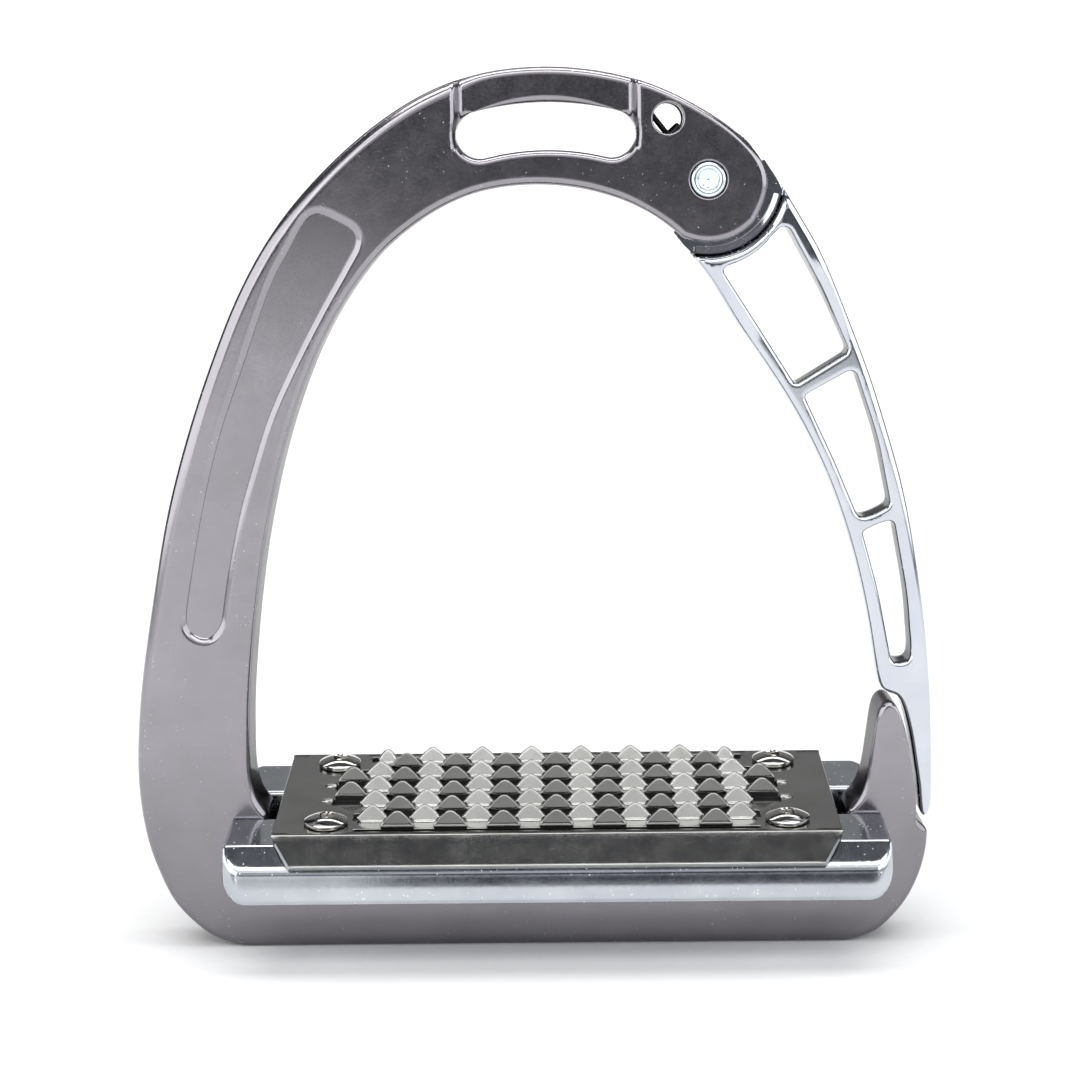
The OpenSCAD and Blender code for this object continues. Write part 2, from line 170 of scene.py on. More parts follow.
def smooth(loop, step=0.8, sharp=40.0, long=6.0):
    """A finer outline on a smooth curve through the points, with sharp corners kept.

    Stretches over the long length stay straight lines.
    """
    n = len(loop)
    corner = np.abs(turning(loop)) > math.radians(sharp)
    ahead = np.roll(loop, -1, 0) - loop
    size = np.hypot(*ahead.T)
    unit = ahead / size[:, None]
    before, length = np.roll(unit, 1, 0), np.roll(size, 1)
    mean = (before * size[:, None] + unit * length[:, None]) / (size + length)[:, None]
    mean[size > long] = unit[size > long]
    mean[length > long] = before[length > long]
    out = []
    for i in range(n):
        j = (i + 1) % n
        m0 = unit[i] if corner[i] else mean[i]
        m1 = unit[i] if corner[j] else mean[j]
        count = max(1, int(round(size[i] / step)))
        for k in range(count):
            t = k / count
            places = (2 * t ** 3 - 3 * t ** 2 + 1) * loop[i] + (3 * t ** 2 - 2 * t ** 3) * loop[j]
            slopes = (t ** 3 - 2 * t ** 2 + t) * m0 + (t ** 3 - t ** 2) * m1
            out.append(places + size[i] * slopes)
    out = np.array(out)
    return out[np.hypot(*(out - np.roll(out, 1, 0)).T) > 0.2 * step]


def averaged(values, passes):
    """Values round an outline, evened out between neighbours."""
    for _ in range(passes):
        values = (np.roll(values, 1, 0) + 2 * values + np.roll(values, -1, 0)) / 4
    return values


def evened(loop, step, passes):
    """An outline with evenly spaced points, relaxed by repeated averaging."""
    size = np.hypot(*(np.roll(loop, -1, 0) - loop).T)
    reach = np.concatenate([[0], np.cumsum(size)])
    ring = np.concatenate([loop, loop[:1]])
    at = np.linspace(0, reach[-1], int(reach[-1] / step), endpoint=False)
    return averaged(np.stack([np.interp(at, reach, ring[:, k]) for k in (0, 1)], 1), passes)


def normals(loop):
    """Unit vectors into the metal at each point of an outline."""
    a = loop - np.roll(loop, 1, 0)
    b = np.roll(loop, -1, 0) - loop
    t = a / np.hypot(*a.T)[:, None] + b / np.hypot(*b.T)[:, None]
    t /= np.maximum(np.hypot(*t.T), 1e-9)[:, None]
    return np.stack([-t[:, 1], t[:, 0]], 1)


def near_edge(points, loop, radius):
    """Distance from each point to an outline, and the edge radius at the nearest place on it."""
    a, b = loop, np.roll(loop, -1, 0)
    d = b - a
    dd = np.maximum((d * d).sum(1), 1e-12)
    ra, rb = radius, np.roll(radius, -1)
    dist, rad = np.empty(len(points)), np.empty(len(points))
    for s in range(0, len(points), 2000):
        p = points[s:s + 2000, None, :]
        t = np.clip(((p - a) * d).sum(2) / dd, 0, 1)
        gap = np.hypot(*np.moveaxis(p - a - t[..., None] * d, 2, 0))
        i = gap.argmin(1)
        row = np.arange(len(i))
        dist[s:s + 2000] = gap[row, i]
        rad[s:s + 2000] = ra[i] * (1 - t[row, i]) + rb[i] * t[row, i]
    return dist, rad


def apart(points, others):
    """Distance from each point to the nearest of some others."""
    out = np.empty(len(points))
    for s in range(0, len(points), 400):
        gap = points[s:s + 400, None, :] - others
        out[s:s + 400] = np.sqrt((gap ** 2).sum(2).min(1))
    return out


def rolled(dist, radius):
    """How far a rounded edge falls under the face at a distance from the outline."""
    r = np.maximum(radius, 1e-6)
    return r - np.sqrt(np.maximum(r * r - np.maximum(r - dist, 0) ** 2, 0))


# ---------- meshes ----------
def put(name, data):
    """A new object in the scene."""
    obj = bpy.data.objects.new(name, data)
    bpy.context.scene.collection.objects.link(obj)
    return obj


def make(name, verts, faces, smooth_angle=35.0):
    """A mesh object from points in millimetres."""
    mesh = bpy.data.meshes.new(name)
    mesh.from_pydata([tuple(np.asarray(v) * MM) for v in verts], [], faces)
    bm = bmesh.new()
    bm.from_mesh(mesh)
    bmesh.ops.remove_doubles(bm, verts=bm.verts, dist=4e-6)
    bmesh.ops.recalc_face_normals(bm, faces=bm.faces)
    bm.to_mesh(mesh)
    bm.free()
    mesh.shade_smooth()
    mesh.set_sharp_from_angle(angle=math.radians(smooth_angle))
    return put(name, mesh)


# How far round a rounded edge each of its rings of points stands
ROLL = [math.radians(a) for a in (14, 28, 42, 56, 70, 82, 90)]


def filled(loops, points, near):
    """Triangles over some outlines and loose points, with the outlines' holes filled too."""
    verts, links = [], []
    for c in loops:
        n, start = len(c), len(verts)
        verts += [tuple(p) for p in c]
        links += [(start + i, start + (i + 1) % n) for i in range(n)]
    verts += [tuple(p) for p in points]
    got = delaunay_2d_cdt(verts, links, [], 0, near)
    flat = np.array([tuple(v) for v in got[0]])
    return flat, np.array([f for f in got[2] if len(f) == 3])


class Plate:
    """A flat part whose edges are rounded: a field of heights over its outlines."""

    def __init__(self, loops, radii, half, relief=None, grid=2.2, extra=None):
        self.loops, self.radii, self.half, self.relief = loops, radii, half, relief
        self.flat, self.tris = self.triangulate(self.sample(grid, extra))

    def drop(self, points):
        """How far the rounded edges fall under the face at some points."""
        fall = np.zeros(len(points))
        for c, r in zip(self.loops, self.radii):
            dist, rad = near_edge(points, c, r)
            fall = np.maximum(fall, rolled(dist, rad))
        return fall

    def height(self, points):
        """Distance of the front face from the middle plane."""
        h = self.half(points) if callable(self.half) else np.full(len(points), self.half)
        if self.relief is not None:
            h = h - self.relief(points)
        return h - self.drop(points)

    def sample(self, grid, extra):
        """Points over the face: rings along each edge, the extra ones and a grid between."""
        rings = []
        for c, r in zip(self.loops, self.radii):
            n = normals(c)
            for off in [r * (1 - math.cos(a)) for a in ROLL] + [r + 0.35]:
                p = c + n * off[:, None]
                dist, _ = near_edge(p, c, r)
                rings.append(p[(dist > off - 0.03) & (off > 0.01)])
        cloud = np.concatenate(self.loops)
        low, high = cloud.min(0), cloud.max(0)
        field = lattice(np.arange(low[0], high[0], grid), np.arange(low[1], high[1], grid))
        field[:, 0] += 0.013 * np.sin(7 * field[:, 1])
        if extra is not None:
            rings.append(extra)
            field = field[apart(field, extra) > 0.5]
        for c, r in zip(self.loops, self.radii):
            dist, rad = near_edge(field, c, r)
            field = field[dist > rad + 0.8]
        rings.append(field)
        inner = np.concatenate(rings)
        inner = inner[inside(inner, self.loops)]
        gap = np.full(len(inner), 9.0)
        for c, r in zip(self.loops, self.radii):
            gap = np.minimum(gap, near_edge(inner, c, r)[0])
        return inner[gap > 0.012]

    def triangulate(self, points):
        """The face's points and the triangles between them, its holes left open."""
        flat, tris = filled(self.loops, points, 1e-5)
        return flat, tris[inside(flat[tris].mean(1), self.loops)]


def bands(rings, n):
    """Faces between closed rings of n points each, in order."""
    return [(k * n + i, k * n + (i + 1) % n, (k + 1) * n + (i + 1) % n, (k + 1) * n + i)
            for k in range(rings - 1) for i in range(n)]


def wall(loop, y0, y1, steps=1):
    """A strip along a closed outline between two depths, each a number or one for each point."""
    n = len(loop)
    y0 = np.broadcast_to(y0, n)
    y1 = np.broadcast_to(y1, n)
    verts = [(loop[i, 0], y0[i] + (y1[i] - y0[i]) * k / steps, loop[i, 1])
             for k in range(steps + 1) for i in range(n)]
    tall = np.abs(y1 - y0) > 1e-6
    return verts, [f for f in bands(steps + 1, n) if tall[f[0] % n]]


def join(parts):
    """One list of points and faces from several."""
    verts, faces = [], []
    for v, f in parts:
        base = len(verts)
        verts += [tuple(p) for p in v]
        faces += [tuple(int(i) + base for i in q) for q in f]
    return verts, faces


def both_faces(plate):
    """The front and rear skins of a plate."""
    h = plate.height(plate.flat)
    x, z = plate.flat.T
    front = np.stack([x, -h, z], 1)
    rear = np.stack([x, h, z], 1)
    return [(front, plate.tris), (rear, plate.tris[:, ::-1])]


def between(outer, inner, y):
    """Flat faces at depth y over what is inside the outer outlines and outside the inner."""
    flat, tris = filled(outer + inner, [], 1e-4)
    mid = flat[tris].mean(1)
    tris = tris[inside(mid, outer) & ~inside(mid, inner)]
    return np.stack([flat[:, 0], np.full(len(flat), y), flat[:, 1]], 1), tris


def lattice(across, up):
    """Every crossing of some columns and rows, as points."""
    return np.stack([g.ravel() for g in np.meshgrid(across, up)], 1)


def along(loop, sides):
    """Points set off to both sides of an outline."""
    n = normals(loop)
    return np.concatenate([loop + s * n for s in sides])


def ease(t):
    """A smooth step from 0 to 1."""
    t = np.clip(t, 0, 1)
    return t * t * (3 - 2 * t)


def mark_shaded_walls(obj, outlines):
    """Mark the wall faces along some outlines, whose colour and specular tint the material darkens
    as painted shade.
    """
    faces = obj.data.polygons
    middle, facing = np.empty(len(faces) * 3), np.empty(len(faces) * 3)
    faces.foreach_get("center", middle)
    faces.foreach_get("normal", facing)
    flat = middle.reshape(-1, 3)[:, [0, 2]] / MM
    gap = np.min([near_edge(flat, c, np.zeros(len(c)))[0] for c in outlines], axis=0)
    wall_face = (gap < 0.3) & (np.abs(facing.reshape(-1, 3)[:, 1]) < 0.35)
    layer = obj.data.attributes.new("painted_shade_walls", "FLOAT", "FACE")
    layer.data.foreach_set("value", wall_face.astype(np.float32))


# ---------- frame ----------
FRAME_HALF = 6.5
SEAT_HALF = 18.2                      # half the width of the leather's seat
RIM_OUT = 1.4                         # the pocket's rim starts this far outside its outline
# Profiles as distance in from the brow and depth under the face: the seat's side, the pocket's rim
BROW = [(0, 0), (0.3, 0.03), (0.6, 0.14), (0.9, 0.38), (1.15, 0.7), (1.85, 2.02), (2.1, 2.3),
        (2.4, 2.45), (2.7, 2.5)]
RIM = [(0, 0), (0.3, 0.03), (0.6, 0.12), (0.9, 0.28), (1.15, 0.47), (1.35, 0.62), (1.5, 0.8)]


def stepped(distance, profile):
    """Depth at a distance along a profile of (distance, depth) points."""
    reach, depth = np.array(profile).T
    return np.interp(distance, reach, depth)


def eye_relief(p):
    """The leather's seat over the eye, with rolled brows and filleted feet."""
    side = np.abs(p[:, 0] - EYE[0])
    return stepped(SEAT_HALF - side, BROW) * (p[:, 1] > EYE[1] + EYE_R - 4)


def frame_radii(outer):
    """Edge radius along the frame's outline."""
    x, z = outer.T
    bed_seat = (np.abs(z - BED_FLOOR) < 0.3) & (np.abs(x - 4) < 56)
    finger_outside = (x > 64) & (z > 27) & (z < 60) & (normals(outer)[:, 0] < -0.5)
    branch_outside = ((x / 56) ** 2 + (z / 149) ** 2 > 1.22) & (x < -12) & (z > 12)
    r = np.full(len(outer), 1.45)
    r[(z > 100) & (x > 20)] = 1.2
    r[bed_seat] = 0.25
    r[(x > 60) & (z > 22)] = 1.15
    r[finger_outside] = 0.5
    r[branch_outside] = 2.5
    return averaged(r, 14)


def eye_radii(slot):
    """Edge radius round the eye: it dies away on the seat's floor towards the walls."""
    side = (slot[:, 0] - EYE[0]) / 13.5
    over = np.hypot(*(slot - EYE).T) > EYE_R + 2
    seat = 1.35 * np.clip(1 - side ** 2, 0.04, 1)
    return averaged(np.where(over & (np.abs(side) < 1.1), seat, 1.25), 3)


POCKET_AT = (-52, 105)
POCKET_BEND = 136.5                   # above this height the outline is POCKET_TOP
POCKET_TOP = [(-45.3, 137.6), (-43.2, 141.5), (-42.1, 143.1), (-40.9, 144.0), (-39.6, 144.3),
              (-38.2, 143.8), (-36.8, 142.9), (-35.4, 142.15), (-34.1, 141.7), (-33.0, 140.9),
              (-32.4, 139.6), (-32.6, 138.1)]


def pocket_outline():
    """The branch's shallow pocket, its upper end drawn a little tighter at the corners."""
    loop = nearest(cut("frame", 0.4 - FRAME_HALF)[1:], POCKET_AT)
    if area(loop) > 0:
        loop = loop[::-1]
    low = loop[:, 1] < POCKET_BEND
    first = np.flatnonzero(low & ~np.roll(low, 1))[0]
    loop = np.roll(loop, -first, 0)
    whole = smooth(np.concatenate([loop[loop[:, 1] < POCKET_BEND], np.array(POCKET_TOP)]), 0.6)
    return evened(whole, 0.6, 10)


def tightened(loop):
    """An outline of the frame; its rounded holes are drawn in to where their walls stand."""
    if np.hypot(*(loop.mean(0) - EYE_SLOT)) < 3:
        return loop - 0.4 * normals(loop)
    if np.hypot(*(loop.mean(0) - SERVICE)) < 1 and np.ptp(loop[:, 0]) < 9:
        return loop - 0.3 * normals(loop)
    return loop


def eased_clevis(outer):
    """The outer outline with the join between the branch and the clevis's arc relaxed."""
    x, z = outer.T
    near = (x > 30) & (z > 142) & (z < 165)
    for _ in range(40):
        mean = (np.roll(outer, 1, 0) + 2 * outer + np.roll(outer, -1, 0)) / 4
        outer = np.where(near[:, None], mean, outer)
    return outer


def build_frame():
    """The frame: one plate with rounded edges, its clevis slot and the seat of the sleeve's head."""
    loops = [tightened(smooth(c)) for c in cut("frame", -CLEVIS_HALF - 0.04)]
    loops[0] = eased_clevis(loops[0])
    pocket = pocket_outline()
    service = nearest(loops[1:], SERVICE)
    slot = nearest(loops[1:], EYE_SLOT)
    head_seat = 5.4                   # depth of the floor under the two screw heads
    seat = smooth(nearest(cut("frame", 0.5 - FRAME_HALF)[1:], PIVOT), 0.5)
    loops = [loops[0], slot, service, seat]
    radii = [frame_radii(loops[0]), eye_radii(slot), np.full(len(service), 0.35),
             np.full(len(seat), 0.35)]

    def relief(p):
        dist, _ = near_edge(p, pocket, np.zeros(len(pocket)))
        inner = np.where(inside(p, [pocket]), dist, -dist)
        return np.maximum(stepped(inner + RIM_OUT, RIM), eye_relief(p))

    steps = [-0.5] + [b[0] for b in BROW] + [1.38, 1.62, 3.1]
    columns = [EYE[0] + s * (SEAT_HALF - w) for s in (-1, 1) for w in steps]
    rows = lattice(columns, np.arange(EYE[1] + EYE_R - 6, 172, 0.7))
    sides = [RIM_OUT - r[0] for r in RIM] + [1.8, -0.6]
    plate = Plate(loops, radii, FRAME_HALF, relief, 2.2,
                  np.concatenate([rows, along(pocket, sides)]))
    parts = both_faces(plate)
    for c in loops[:3]:
        face = -plate.height(c)
        parts.append(wall(c, face, np.maximum(face, -CLEVIS_HALF)))
        parts.append(wall(c, -face, -np.maximum(face, -CLEVIS_HALF)))
    core = [tightened(smooth(c)) for c in cut("frame", MIDDLE)]
    for c in core:
        if np.hypot(*(c.mean(0) - PIVOT)) < 1:
            continue
        face = np.maximum(-plate.height(c), -CLEVIS_HALF)
        parts.append(wall(c, face, -face, 4))
    face = -plate.height(seat)
    parts += [wall(seat, face, -head_seat), wall(seat, -face, head_seat)]
    for y in (-CLEVIS_HALF, CLEVIS_HALF):
        parts.append(between(loops[:3], core, y))
    skin = make("frame_skin", *join(parts))
    # painted shade: the frame's outer walls are marked for a darker colour
    mark_shaded_walls(skin, loops[:1])
    return skin


# ---------- safety arm ----------
TONGUE_HALF = 3.5
FORK_HALF = 2.45                      # half the slot for the spring's coil in the tongue
SHOULDER_R = 14.2                     # the arc that the arm's shoulder makes round the clevis
TAIL_TOP = 51                         # height up to which the arm is its thin tail


def arm_half(p):
    """Half the arm's thickness: it swells towards the shoulder."""
    return 4.0 + 2.0 * ease((p[:, 1] - 119) / 16)


def arm_radii(outer):
    """Edge radius along the arm's outline."""
    gap = np.abs(np.hypot(*(outer - PIVOT).T) - SHOULDER_R)
    r = np.where(gap < 0.2, 1.9, 1.25)
    r[outer[:, 1] < TAIL_TOP] = 0.9
    return averaged(r, 2)


# The cone's profile, as radius and distance from the middle plane
CONE = [(12.6, 3.5), (12.75, 3.53), (12.95, 3.6), (13.5, 3.82), (13.85, 4.0), (14.05, 4.16),
        (14.16, 4.4), (14.2, 4.8)]


def shoulder_cone():
    """The shallow cone that leads from the tongue to the shoulder's round end."""
    verts, faces = [], []
    turns, steps = 60, len(CONE) - 1
    first, sweep = -12, -88
    for s in (-1, 1):
        base = len(verts)
        for i in range(turns + 1):
            a = math.radians(first + sweep * i / turns)
            for r, y in CONE:
                verts.append((PIVOT[0] + r * math.cos(a), s * y, PIVOT[1] + r * math.sin(a)))
        for i in range(turns):
            for k in range(steps):
                q = base + i * (steps + 1) + k
                faces.append((q, q + 1, q + steps + 2, q + steps + 1))
    return verts, faces


def build_arm():
    """The arm: a plate with windows, its tongue forked for the spring's coil, and its cone."""
    loops = [smooth(c) for c in cut("safety_arm", -TONGUE_HALF - 0.2)]
    radii = [arm_radii(loops[0])] + [np.full(len(c), 0.75) for c in loops[1:]]
    plate = Plate(loops, radii, arm_half, None, 1.7)
    parts = both_faces(plate)
    for c in loops:
        face = -plate.height(c)
        parts.append(wall(c, face, -face, 4))
    lugs = [smooth(c) for c in cut("safety_arm", 0.5 - TONGUE_HALF)]
    core = [smooth(c) for c in cut("safety_arm", MIDDLE)]
    for y in (-TONGUE_HALF, TONGUE_HALF):
        parts.append(between(lugs, loops, y))
        parts.append(between(lugs, core, y * FORK_HALF / TONGUE_HALF))
    for c in lugs:
        near = np.hypot(*(c - PIVOT).T) < SHOULDER_R + 0.05
        for s in (-1, 1):
            parts.append(wall(c, s * TONGUE_HALF, np.where(near, s * FORK_HALF, s * TONGUE_HALF)))
    for c in core:
        near = np.hypot(*(c - PIVOT).T) < SHOULDER_R + 0.05
        parts.append(wall(c, np.where(near, -FORK_HALF, FORK_HALF), FORK_HALF))
    parts.append(shoulder_cone())
    arm = make("arm_skin", *join(parts))
    # painted shade: the windows' walls and the tail's left wall, by the gap at the finger, are
    # marked for a darker colour
    tail = loops[0][(loops[0][:, 1] < TAIL_TOP) & (normals(loops[0])[:, 0] > 0.5)]
    mark_shaded_walls(arm, loops[1:] + [tail])
    return arm


# ---------- tread ----------
BED_FLOOR = 14.2                      # top of the bottom bar, where the bed stands
BED_HALF_W = 64.0
END_R = 5.0                           # round under the bed's two ends
CREST = 22.17                         # from the tread's origin to the bed's crests
FRONT_FALL, REAR_FALL = math.radians(48), math.radians(36)
FRONT_DROP = 1.2                      # the front bevel stands this much lower than the CAD's
# Share of the way up the bed's front, and how far it leans in there
CROWN = [(0.0, 0.46), (0.04, 0.25), (0.1, 0.08), (0.18, 0.0), (0.40, 0.0), (0.47, 0.024),
         (0.54, 0.065), (0.63, 0.132), (0.75, 0.229), (0.88, 0.342), (1.0, 0.46)]


def on_tread(points):
    """Points in the tread's own frame, carried into the row's."""
    p = np.asarray(points, float)
    c, s = math.cos(TILT), math.sin(TILT)
    return np.stack([p[:, 0] + TREAD[0], p[:, 1] * c - p[:, 2] * s,
                     TREAD[2] + p[:, 1] * s + p[:, 2] * c], 1)


def soft_min(a, b, k):
    """The lower of two fields, rounded over where they cross."""
    h = np.clip(0.5 + 0.5 * (b - a) / k, 0, 1)
    return b + (a - b) * h - k * h * (1 - h)


def bed_top(p):
    """Height of the bed: its sloping top and the two bevelled flanks."""
    y = p[:, 1]
    level = TREAD[2] + y * math.tan(TILT)
    edge_y, edge_z = CREST * math.cos(TILT), CREST * math.sin(TILT)
    front = TREAD[2] - edge_z - FRONT_DROP + (y + edge_y) * math.tan(FRONT_FALL)
    rear = TREAD[2] + edge_z - (y - edge_y) * math.tan(REAR_FALL)
    return soft_min(soft_min(level, front, 0.25), rear, 0.25)


def bed_low(p):
    """Underside of the bed, turned up at its two ends."""
    side = np.clip(np.abs(p[:, 0] - TREAD[0]) - (BED_HALF_W - END_R), 0, END_R)
    return BED_FLOOR + END_R - np.sqrt(np.maximum(END_R ** 2 - side ** 2, 0))


def bed_points():
    """Points along the two crests, where the bevels start, and round under the two ends."""
    crests = (FRONT_DROP / (math.tan(FRONT_FALL) - math.tan(TILT)) - CREST * math.cos(TILT),
              CREST * math.cos(TILT))
    lines = [c + o for c in crests for o in (-0.4, -0.25, -0.15, -0.05, 0.05, 0.15, 0.25, 0.4)]
    across = np.concatenate([np.arange(-60, -52, 0.3), np.arange(-52, 60, 0.9),
                             np.arange(60, 69, 0.3)])
    ends = [TREAD[0] + s * (BED_HALF_W - END_R + o)
            for s in (-1, 1) for o in (0, 1, 2, 3, 3.8, 4.4)]
    return np.concatenate([lattice(across, lines), lattice(ends, np.arange(-25, 26, 1.3))])


def build_bed():
    """The bed: its top and underside, and a wall that follows the crown."""
    full = smooth(cut("tread_bed", 19.7, 2)[0], 0.7)
    inward = normals(full)
    inward *= 0.3 + 0.7 * inward[:, 1:] ** 2
    outer = full + CROWN[-1][1] * inward
    plate = Plate([outer], [np.full(len(outer), 0.9)], bed_top, None, 2.4, bed_points())
    lower_round = 0.6
    top = plate.height(plate.flat)
    low = bed_low(plate.flat) + plate.drop(plate.flat) * lower_round
    x, y = plate.flat.T
    rim_top, rim_low = plate.height(outer), bed_low(outer) + plate.drop(outer) * lower_round
    n = len(outer)
    levels = [(t, full + inset * inward) for t, inset in CROWN[1:-1]]
    levels = [(0.0, outer)] + levels + [(1.0, outer)]
    verts = [(c[i, 0], c[i, 1], rim_low[i] + (rim_top[i] - rim_low[i]) * t)
             for t, c in levels for i in range(n)]
    parts = [(np.stack([x, y, top], 1), plate.tris),
             (np.stack([x, y, low], 1), plate.tris[:, ::-1]), (verts, bands(len(levels), n))]
    return make("bed_skin", *join(parts))


# ---------- grip plate ----------
PLATE_W, PLATE_D = 54.4, 22.0         # half the flat sheet's width and depth
MITRE = 4.0                           # how much each flange's ends are cut back
FLANGE_DROP = math.radians(42)
FLANGE_LEN = 6.9
ROWS = 5
ROW_PITCH = 8.0
STRAND = 4.4                          # depth of the metal between two slits
TOOTH_PITCH = 10.15
TOOTH_THICK = 0.95
TAIL = 1.3                            # part of a tooth that lies bent in its strand
REAR_LEAN, FRONT_LEAN = 34, -24       # from upright, away from the strand, in degrees
SCREWS = [(x, v) for x in (-44.4, 44.4) for v in (-16, 16)]
SCREW_NAMES = ["front_left", "rear_left", "front_right", "rear_right"]


def row_v(k):
    """Middle of a strand, front to rear."""
    return -17 + ROW_PITCH * k


BUMPS = [(s * 44.6, row_v(k) - 3.2) for s in (-1, 1) for k in (2, 3)]
BUMP_SIZE = np.array([2.0, 0.95])
BUMP_TALL = 0.6
DISH_DEEP = 0.1


def rectangle(x0, x1, y0, y1, r, n=4, step=1.5):
    """A rounded rectangle, anticlockwise."""
    pts = []
    for cx, cy, a0 in ((x1 - r, y0 + r, -90), (x1 - r, y1 - r, 0), (x0 + r, y1 - r, 90),
                       (x0 + r, y0 + r, 180)):
        pts += [(cx + r * math.cos(math.radians(a0 + 90 * i / n)),
                 cy + r * math.sin(math.radians(a0 + 90 * i / n))) for i in range(n + 1)]
    out = []
    for p, q in zip(pts, pts[1:] + pts[:1]):
        count = max(1, int(math.hypot(q[0] - p[0], q[1] - p[1]) / step))
        out += [(p[0] + (q[0] - p[0]) * i / count, p[1] + (q[1] - p[1]) * i / count)
                for i in range(count)]
    return np.array(out)


def circle(c, r, n):
    """An anticlockwise circle of n points."""
    a = np.arange(n) * 2 * math.pi / n
    return np.stack([c[0] + r * np.cos(a), c[1] + r * np.sin(a)], 1)


def slits():
    """The gaps in front of each strand and behind the last: low, high and half length."""
    half = STRAND / 2
    out = [(row_v(0) - half - 1.2, row_v(0) - half, 39.0)]
    for k in range(ROWS - 1):
        out.append((row_v(k) + half, row_v(k + 1) - half, 44.0 if k in (1, 2) else 39.4))
    out.append((row_v(ROWS - 1) + half, row_v(ROWS - 1) + half + 2.8, 38.0))
    return out


def flat_sheet():
    """The flat of the plate, with its slits and screw holes."""
    outer = rectangle(-PLATE_W, PLATE_W, -PLATE_D, PLATE_D, 0.3, 2)
    holes = [rectangle(-w, w, a, b, 0.35, 3, 2.0)[::-1] for a, b, w in slits()]
    holes += [circle(c, 2.2, 20)[::-1] for c in SCREWS]
    loops = [outer] + holes
    radii = [np.full(len(c), 0.16) for c in loops]
    radii[0] = np.where(np.abs(outer[:, 1]) > PLATE_D - 0.4, 0.02, 0.2)
    plate = Plate(loops, radii, SHEET / 2, dimples, 2.6, bump_points())
    mid = PLATE_TOP - SHEET / 2
    top = plate.height(plate.flat)
    low = SHEET / 2 - plate.drop(plate.flat)
    x, y = plate.flat.T
    parts = [(np.stack([x, y, mid + top], 1), plate.tris),
             (np.stack([x, y, mid - low], 1), plate.tris[:, ::-1])]
    for c in loops:
        n, h = len(c), SHEET / 2 - plate.drop(c)
        verts = [(c[i, 0], c[i, 1], mid + s * h[i]) for s in (-1, 1) for i in range(n)]
        parts.append((verts, bands(2, n)))
    return join(parts)


def bump_points():
    """Rings of points on the stamped bumps and round the screws' dishes."""
    rings = [b + (circle((0, 0), r, 20) * BUMP_SIZE) for b in BUMPS
             for r in (0.15, 0.35, 0.55, 0.75, 0.9, 1.0)]
    dish = [circle(c, r, 28) for c in SCREWS for r in (4.6, 5.0, 5.4, 5.9)]
    return np.concatenate(rings + dish)


def dimples(p):
    """Small stamped bumps beside the slits, and the sheet drawn down round each screw."""
    fall = np.zeros(len(p))
    for b in BUMPS:
        d = np.hypot(*((p - b) / BUMP_SIZE).T)
        fall -= BUMP_TALL * np.sqrt(np.maximum(1 - d ** 2, 0))
    for c in SCREWS:
        d = np.hypot(*(p - c).T)
        fall += DISH_DEEP * (1 - ease((d - 4.5) / 1.5))
    return fall


def flange_section():
    """Outline across a flange, from the flat round the bend to its lip and back underneath."""
    bend, steps, lip, overlap = 0.4, 3, 0.22, 1.2
    c, s = math.cos(FLANGE_DROP), math.sin(FLANGE_DROP)
    half_turn = math.tan(FLANGE_DROP / 2)
    pts = []
    for i in range(steps + 1):
        a = FLANGE_DROP * i / steps
        pts.append((PLATE_D - bend * half_turn + bend * math.sin(a),
                    PLATE_TOP - bend * (1 - math.cos(a))))
    start = pts[-1]
    end = (PLATE_D + FLANGE_LEN * c, PLATE_TOP - FLANGE_LEN * s)
    for t in (0.3, 0.6, 0.9, 0.965):
        pts.append((start[0] + (end[0] - start[0]) * t, start[1] + (end[1] - start[1]) * t))
    for a in (20, 45, 70, 90):
        r = math.radians(a)
        back, fall = lip * (math.sin(r) - 1), lip * (1 - math.cos(r))
        pts.append((end[0] + c * back - s * fall, end[1] - s * back - c * fall))
    pts.append((end[0] - s * SHEET, end[1] - c * SHEET))
    under = [(PLATE_D - SHEET * half_turn, PLATE_TOP - SHEET),
             (PLATE_D - overlap, PLATE_TOP - SHEET)]
    return [(PLATE_D - overlap, PLATE_TOP)] + pts + under


def flange(side):
    """One bent flange, with mitred ends."""
    line = flange_section()
    reach = FLANGE_LEN * math.cos(FLANGE_DROP)
    xs = np.linspace(-1, 1, 61)
    verts, faces = [], []
    for v, z in line:
        w = PLATE_W - MITRE * np.clip((v - PLATE_D) / reach, 0, 1)
        verts += [(w * u, side * v, z) for u in xs]
    n, m = len(xs), len(line)
    for j in range(m):
        k = (j + 1) % m
        faces += [(j * n + i, j * n + i + 1, k * n + i + 1, k * n + i) for i in range(n - 1)]
    faces.append(tuple(j * n for j in range(m)))
    faces.append(tuple(j * n + n - 1 for j in range(m))[::-1])
    return verts, faces


def gable(half, height, foot, apex):
    """Outline of one tooth with its tail in the strand, as points across and up.

    half and foot are half widths, of the tooth and of its tail; apex is the tip's radius.
    """
    slope = math.atan2(height - 0.5, half - 0.4 * apex)
    rise = height - apex
    start = np.array([-half, 0.42])
    end = np.array([-apex * math.sin(slope), rise + apex * math.cos(slope)])
    out = np.array([-math.sin(slope), math.cos(slope)])
    left = [(-foot + 0.5, -TAIL), (-foot + 0.22, -0.8), (-foot, -0.3), (-half + 0.12, 0.08)]
    left += [tuple(start + (end - start) * t + out * 0.55 * t * (1 - t))
             for t in (0, 0.25, 0.5, 0.75)]
    first = math.degrees(math.pi / 2 - slope)
    top = [(-apex * math.cos(math.radians(a)), rise + apex * math.sin(math.radians(a)))
           for a in np.linspace(first, 180 - first, 9)]
    right = [(-x, y) for x, y in left[::-1]]
    low = [(x, -TAIL) for x in np.linspace(foot - 0.5, 0.5 - foot, 5)[1:-1]]
    return smooth(np.array(left + top + right + low)[::-1], 0.4)


